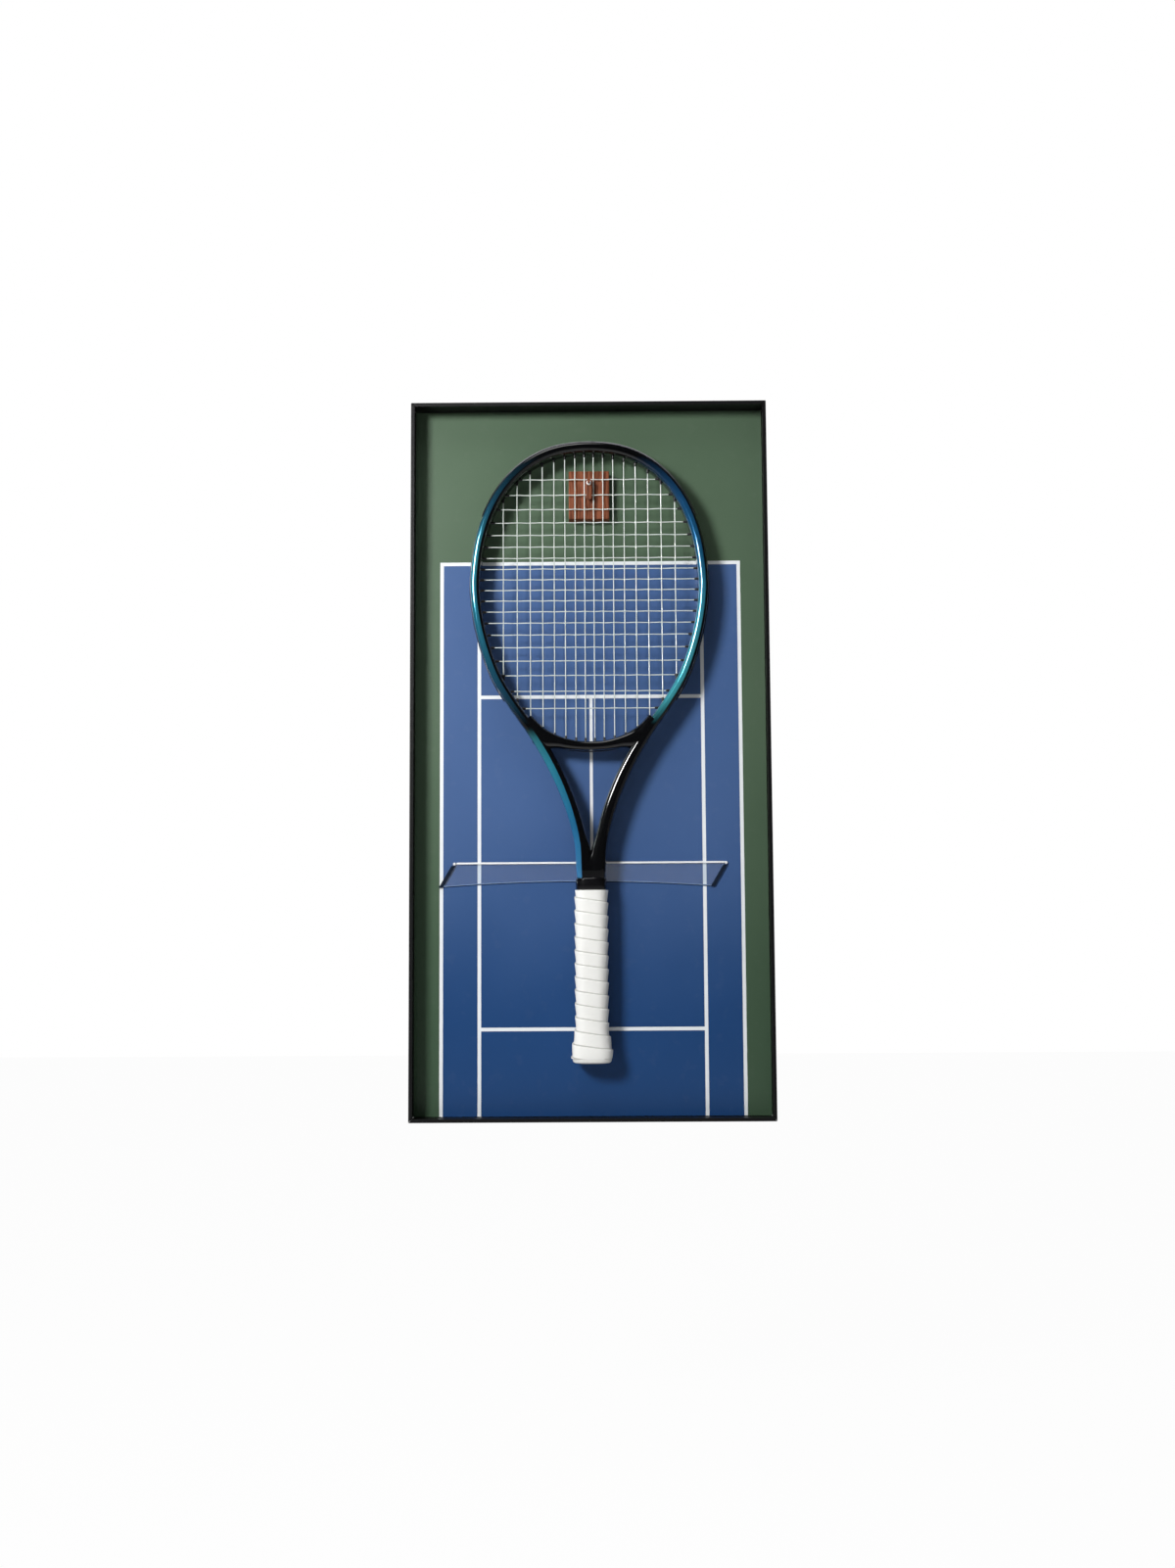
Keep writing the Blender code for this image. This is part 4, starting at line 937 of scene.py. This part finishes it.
def stringPlaces():
    mains = [strings["middleGap"] / 2]
    for k in range(strings["mains"] // 2 - 1):
        mains.append(mains[-1] + strings["mainGap"] + strings["mainGrowth"] * k)
    crosses = [strings["firstCross"]]
    for k in range(strings["crosses"] - 1):
        crosses.append(crosses[-1] + strings["crossGap"]
                       + strings["crossGrowth"] * (k - (strings["crosses"] - 3) / 2) ** 2)
    return [-x for x in reversed(mains)] + mains, crosses


def stringRuns():
    # each string as its fixed coordinate and the two places where it meets the racket's inner side
    inside = [point - outwards * (width / 2) for point, outwards, width, depth in rightHalf]
    line = [bridgePoint(sideHalf * racket["bridgeShare"] * k / 32, -racket["bridgeWidth"] / 2) for k in range(33)]
    mains, crosses = stringPlaces()
    mainRuns = []
    for x in mains:
        passed = crossingsOf(inside, abs(x), 0)
        lower = [down for down in passed if down > racket["widestDown"]] + crossingsOf(line, abs(x), 0)
        mainRuns.append((x, min(passed), min(lower)))
    crossRuns = []
    for down in crosses:
        reach = min(crossingsOf(inside, down, 1))
        crossRuns.append((down, -reach, reach))
    return mainRuns, crossRuns


def wovenString(start, end, meets, firstSide):
    # (place, depth) pairs: over and under at each meeting, and level at both ends
    stops = [(start - strings["sunk"], 0.0)]
    for k, spot in enumerate(meets):
        if start + strings["clear"] < spot < end - strings["clear"]:
            stops.append((spot, strings["weave"] * (1 if (k + firstSide) % 2 else -1)))
    stops.append((end + strings["sunk"], 0.0))
    points = []
    for (a, depthA), (b, depthB) in zip(stops, stops[1:]):
        for k in range(strings["pointsPerGap"]):
            share = k / strings["pointsPerGap"]
            points.append((a + (b - a) * share, depthA + (depthB - depthA) * easeIn(share)))
    return points + [stops[-1]]


def buildStrings():
    clearSelection()
    bpy.ops.curve.primitive_bezier_curve_add()
    bed = nameActive("stringBed")
    bed.data.splines.clear()
    bed.data.bevel_depth = strings["radius"]
    bed.data.bevel_resolution = strings["roundness"]
    bed.data.use_fill_caps = True
    mainRuns, crossRuns = stringRuns()
    acrossPlaces = [run[0] for run in mainRuns]
    downPlaces = [run[0] for run in crossRuns]
    paths = []
    for k, (x, top, foot) in enumerate(mainRuns):
        paths.append([racketPoint(x, along, depth) for along, depth in wovenString(top, foot, downPlaces, k)])
    for k, (down, left, right) in enumerate(crossRuns):
        woven = wovenString(left, right, acrossPlaces, k + 1)
        paths.append([racketPoint(along, down, depth) for along, depth in woven])
    for path in paths:
        spline = bed.data.splines.new("POLY")
        spline.points.add(len(path) - 1)
        for point, spot in zip(spline.points, path):
            point.co = (*spot, 1.0)
    bpy.ops.object.convert(target="MESH")
    return bpy.context.active_object


def buildBarrels():
    mainRuns, crossRuns = stringRuns()
    ends = []
    for x, top, foot in mainRuns:
        ends += [(x, top, 0, 1), (x, foot, 0, -1)]
    for down, left, right in crossRuns:
        ends += [(left, down, 1, 0), (right, down, -1, 0)]
    pieces = []
    for x, down, sideways, downwards in ends:
        if pieces:
            piece = copyOf(pieces[0])
        else:
            clearSelection()
            bpy.ops.mesh.primitive_cone_add(vertices=barrel["sides"], radius1=barrel["outer"],
                                            radius2=barrel["inner"], depth=barrel["length"])
            piece = nameActive("grommetBarrel")
            applyModifier(piece, "BEVEL", width=barrel["edge"], segments=2, limit_method="ANGLE")
        way = Vector((sideways, 0, -downwards))
        piece.rotation_euler = way.to_track_quat("Z", "Y").to_euler()
        piece.location = racketPoint(x, down) + way * (barrel["length"] / 2 - barrel["sunk"])
        pieces.append(piece)
    return settle(joined("grommetBarrels", pieces))


place(smoothSides(buildStrings()), "racket", "string_white", mouldedFinish("stringNylon"), "string_bed")
place(smoothSides(buildBarrels()), "racket", "nylon_black", mouldedFinish("barrelNylon"))
print("strings and barrels built")

# handle: wound tape, collar and butt cap

handle = {"halfWidth": 0.0173, "halfDepth": 0.0139, "squareness": 12.0, "facet": 1.58, "pitch": 0.0145, "step": 0.0014,
          "tapeEnd": 0.6875, "length": 0.6925, "flare": 0.0043, "flareDepth": 0.0012, "flareStart": 0.0420,
          "flareLength": 0.0330, "columns": 64, "endRound": 0.0034}
tapeProfile = ((0.000, 0.70), (0.022, 0.97), (0.070, 1.00), (0.200, 0.84), (0.400, 0.58), (0.600, 0.32),
               (0.780, 0.12), (0.900, 0.02), (0.975, 0.00))
tapeLook = {"colour": (0.88, 0.88, 0.85, 1), "roughness": 0.58, "seamShade": (0.30, 0.29, 0.26, 1), "seamShare": 0.7}


def flareAt(down):
    return easeIn((down - handle["length"] + handle["flareStart"]) / handle["flareLength"])


def handlePoint(turn, down, grow):
    c, s = math.cos(turn), math.sin(turn)
    halfWidth = handle["halfWidth"] + handle["flare"] * flareAt(down) + grow
    halfDepth = handle["halfDepth"] + handle["flareDepth"] * flareAt(down) + grow
    power = handle["squareness"]
    wide, deep = abs(c) / halfWidth, abs(s) / halfDepth
    size = (wide ** power + deep ** power + ((wide + deep) / handle["facet"]) ** power) ** (-1 / power)
    return racketPoint(size * c, down, size * s)


def tapeFinish():
    material, tree, shader, where = newFinish("gripTape", Specular_IOR_Level=0.35, Sheen_Weight=0.25)
    seam = addNode(tree, "ShaderNodeAttribute", attribute_name="seam").outputs["Fac"]
    dots = addNode(tree, "ShaderNodeTexVoronoi", {"Vector": where, "Scale": 1100.0}).outputs["Distance"]
    creases = useEffect(tree, "lines", Vector=where, Stretch=(60.0, 60.0, 420.0), Strength=0.35, Depth=0.0004)
    relief = bump(tree, dots, 0.18, 0.00015, Normal=creases["Normal"])
    handled = addWear(tree, shader, where, relief, Scale=55.0, Color=tapeLook["colour"], Tone=0.05,
                      Roughness=tapeLook["roughness"], Spread=0.06, Dust=0.02)
    # a painted shadow darkens the tape along each seam where one wrap overlaps the next
    linkAll(tree, shader, Base_Color=mixColours(tree, seam, handled["Color"], tapeLook["seamShade"]))
    return material


def buildTape():
    # a flat grid is wound round the handle with its rows along the tape, then cut square at both ends
    columns, steps = handle["columns"], len(tapeProfile)
    turns = math.ceil((handle["tapeEnd"] - racket["gripDown"]) / handle["pitch"]) + 3
    clearSelection()
    bpy.ops.mesh.primitive_grid_add(x_subdivisions=columns, y_subdivisions=turns * steps - 1, size=2)
    piece = nameActive("gripTape")
    layer = piece.data.attributes.new("seam", "FLOAT", "POINT")
    for vertex in piece.data.vertices:
        column = round((vertex.co.x + 1) / 2 * columns)
        row = round((vertex.co.y + 1) / 2 * (turns * steps - 1))
        offset, raised = tapeProfile[row % steps]
        down = racket["gripDown"] + handle["pitch"] * (row // steps - 1 + offset - column / columns)
        vertex.co = handlePoint(math.tau * column / columns, down, handle["step"] * raised)
        # the first and last row of each wrap carry the mask of the painted shadow in the crease between wraps
        layer.data[vertex.index].value = tapeLook["seamShare"] if row % steps in (0, steps - 1) else 0.0
    bpy.ops.object.mode_set(mode="EDIT")
    bpy.ops.mesh.select_all(action="SELECT")
    bpy.ops.mesh.remove_doubles(threshold=0.00001)
    for down, way in ((racket["gripDown"], 1), (handle["tapeEnd"], -1)):
        bpy.ops.mesh.select_all(action="SELECT")
        bpy.ops.mesh.bisect(plane_co=racketPoint(0, down), plane_no=(0, 0, way), clear_outer=True, use_fill=True,
                            threshold=0.000001)
    bpy.ops.mesh.select_all(action="SELECT")
    bpy.ops.mesh.normals_make_consistent(inside=False)
    bpy.ops.object.mode_set(mode="OBJECT")
    return piece


def handleRings(stops):
    turns = [math.tau * k / handle["columns"] for k in range(handle["columns"])]
    return [[handlePoint(turn, down, grow) for turn in turns] for down, grow in stops]


def buildCollar():
    top, length = racket["collarDown"], racket["collarLength"]
    rim = [(-0.0004, -0.0030), (0.0, -0.0014), (0.0006, -0.0006), (0.0018, -0.0003), (0.0024, -0.0009),
           (0.0030, -0.0003), (length * 0.5, -0.0002), (length - 0.0016, -0.0003), (length - 0.0004, -0.0007),
           (length, -0.0016)]
    return sweepRings("gripCollar", handleRings([(top + down, grow) for down, grow in rim]))


def buildButt():
    start, end, edge = handle["tapeEnd"] - 0.004, handle["length"], handle["endRound"]
    stops = [(start, -0.0018), (handle["tapeEnd"] + 0.0001, -0.0016), (handle["tapeEnd"] + 0.0002, -0.0002)]
    for k in range(7):
        turn = math.pi / 2 * k / 6
        stops.append((end - edge + edge * math.sin(turn), -0.0002 - edge * (1 - math.cos(turn))))
    stops += [(end, -0.0062), (end - 0.0006, -0.0066), (end - 0.0006, -0.0100)]
    return sweepRings("buttCap", handleRings(stops))


place(smoothSides(buildTape(), 60), "racket", "grip_white", tapeFinish(), "overgrip")
place(smoothSides(buildCollar()), "racket", "rubber_black", mouldedFinish("collarRubber"), "grip_collar")
place(smoothSides(buildButt(), 35), "racket", "cap_white", mouldedFinish("buttNylon"), "butt_cap")
print("handle built")

# toggle and screws

toggle = {"pivotHeight": 0.7067, "back": 0.0281, "width": 0.0065, "above": 0.0046, "below": 0.0190,
          "thickness": 0.0030, "edge": 0.0006, "endRound": 0.495, "hole": 0.0015,
          "drill": 0.02}
screwShape = {"dome": 0.62, "tipBevel": 0.45, "crossTurns": (20, 110)}
pegHead = {"radius": 0.0027, "height": 0.0018, "seat": 0.0314, "tip": 0.0132, "shank": 0.0012, "cross": 0.00042,
           "reach": 0.0012, "deep": 0.0004}
backScrew = {"radius": 0.0024, "height": 0.0011, "shank": 0.0012, "cross": 0.0006, "reach": 0.0015, "deep": 0.0007}


def pointsToWall(edge):
    along = edge.verts[0].co - edge.verts[1].co
    return abs(along.y) > 0.9 * along.length


def buildToggle():
    clearSelection()
    length = toggle["above"] + toggle["below"]
    middle = toggle["pivotHeight"] + (toggle["above"] - toggle["below"]) / 2
    bpy.ops.mesh.primitive_cube_add(size=1, location=(0, -toggle["back"] - toggle["thickness"] / 2, middle),
                                    scale=(toggle["width"], toggle["thickness"], length))
    piece = settle(nameActive("turnToggle"))
    bevelEdges(piece, pointsToWall, toggle["width"] * toggle["endRound"], 8)
    applyModifier(piece, "BEVEL", width=toggle["edge"], segments=3, limit_method="ANGLE", angle_limit=math.radians(50))
    cutAway(piece, roundBar(24, toggle["hole"], toggle["drill"], toggle["back"], toggle["pivotHeight"]))
    return piece


def buildScrew(name, sizes, seat, tip, towards):
    # a pan head with a cross recess: the seat and the tip are depths, and the head faces front or back
    rim = -seat - towards * sizes["height"]
    roundBar(24, sizes["radius"], sizes["height"], seat + towards * sizes["height"] / 2)
    head = settle(nameActive(name))
    bevelEdges(head, lambda edge: all(abs(vertex.co.y - rim) < 0.00001 for vertex in edge.verts),
               sizes["height"] * screwShape["dome"], 4)
    for turn in screwShape["crossTurns"]:
        clearSelection()
        bpy.ops.mesh.primitive_cube_add(size=1, location=(0, rim, 0), rotation=(0, math.radians(turn), 0),
                                        scale=(sizes["reach"] * 2, sizes["deep"] * 2, sizes["cross"]))
        cutAway(head, bpy.context.active_object)
    shank = settle(roundBar(16, sizes["shank"], abs(tip - seat), (seat + tip) / 2))
    applyModifier(shank, "BEVEL", width=sizes["shank"] * screwShape["tipBevel"], segments=2, limit_method="ANGLE")
    return smoothSides(joined(name, [head, shank]), 35)


place(smoothSides(buildToggle(), 40), "latch", "toggle_brown", woodFinish("toggleWood"), "toggle_latch")
pegScrew = buildScrew("pegScrew", pegHead, pegHead["seat"], pegHead["tip"], 1)
pegScrew.location.z = toggle["pivotHeight"]
place(settle(pegScrew), "display_frame", "chrome", metalFinish("brightChrome"), "peg_screw")

screwSets = [("bracket_screw_", "steel_black", mouldedFinish("screwBlack")),
             ("board_screw_", "steel_pale", metalFinish("yellowPassivate")),
             ("hanger_screw_", "steel_nickel", nickelLook),
             ("block_screw_", "steel_zinc", metalFinish("zincPlate"))]
screwCount = 0
for start, slot, material in screwSets:
    pattern = None
    for name in sorted(namesWith(start)):
        low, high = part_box(name)
        centre = (Vector(low) + Vector(high)) / 2
        seat, tip = -high[1] + backScrew["height"], -low[1]
        if pattern is None:
            pattern = buildScrew(start + "pattern", backScrew, seat, tip, -1)
        copyOf(pattern)
        screw = nameActive(name.replace("_", "") + "Head")
        screw.location = (centre.x, 0, centre.z)
        place(settle(screw), "display_frame", slot, material, name)
        screwCount += 1
    bpy.data.objects.remove(pattern)
print("toggle and", screwCount, "screws built")
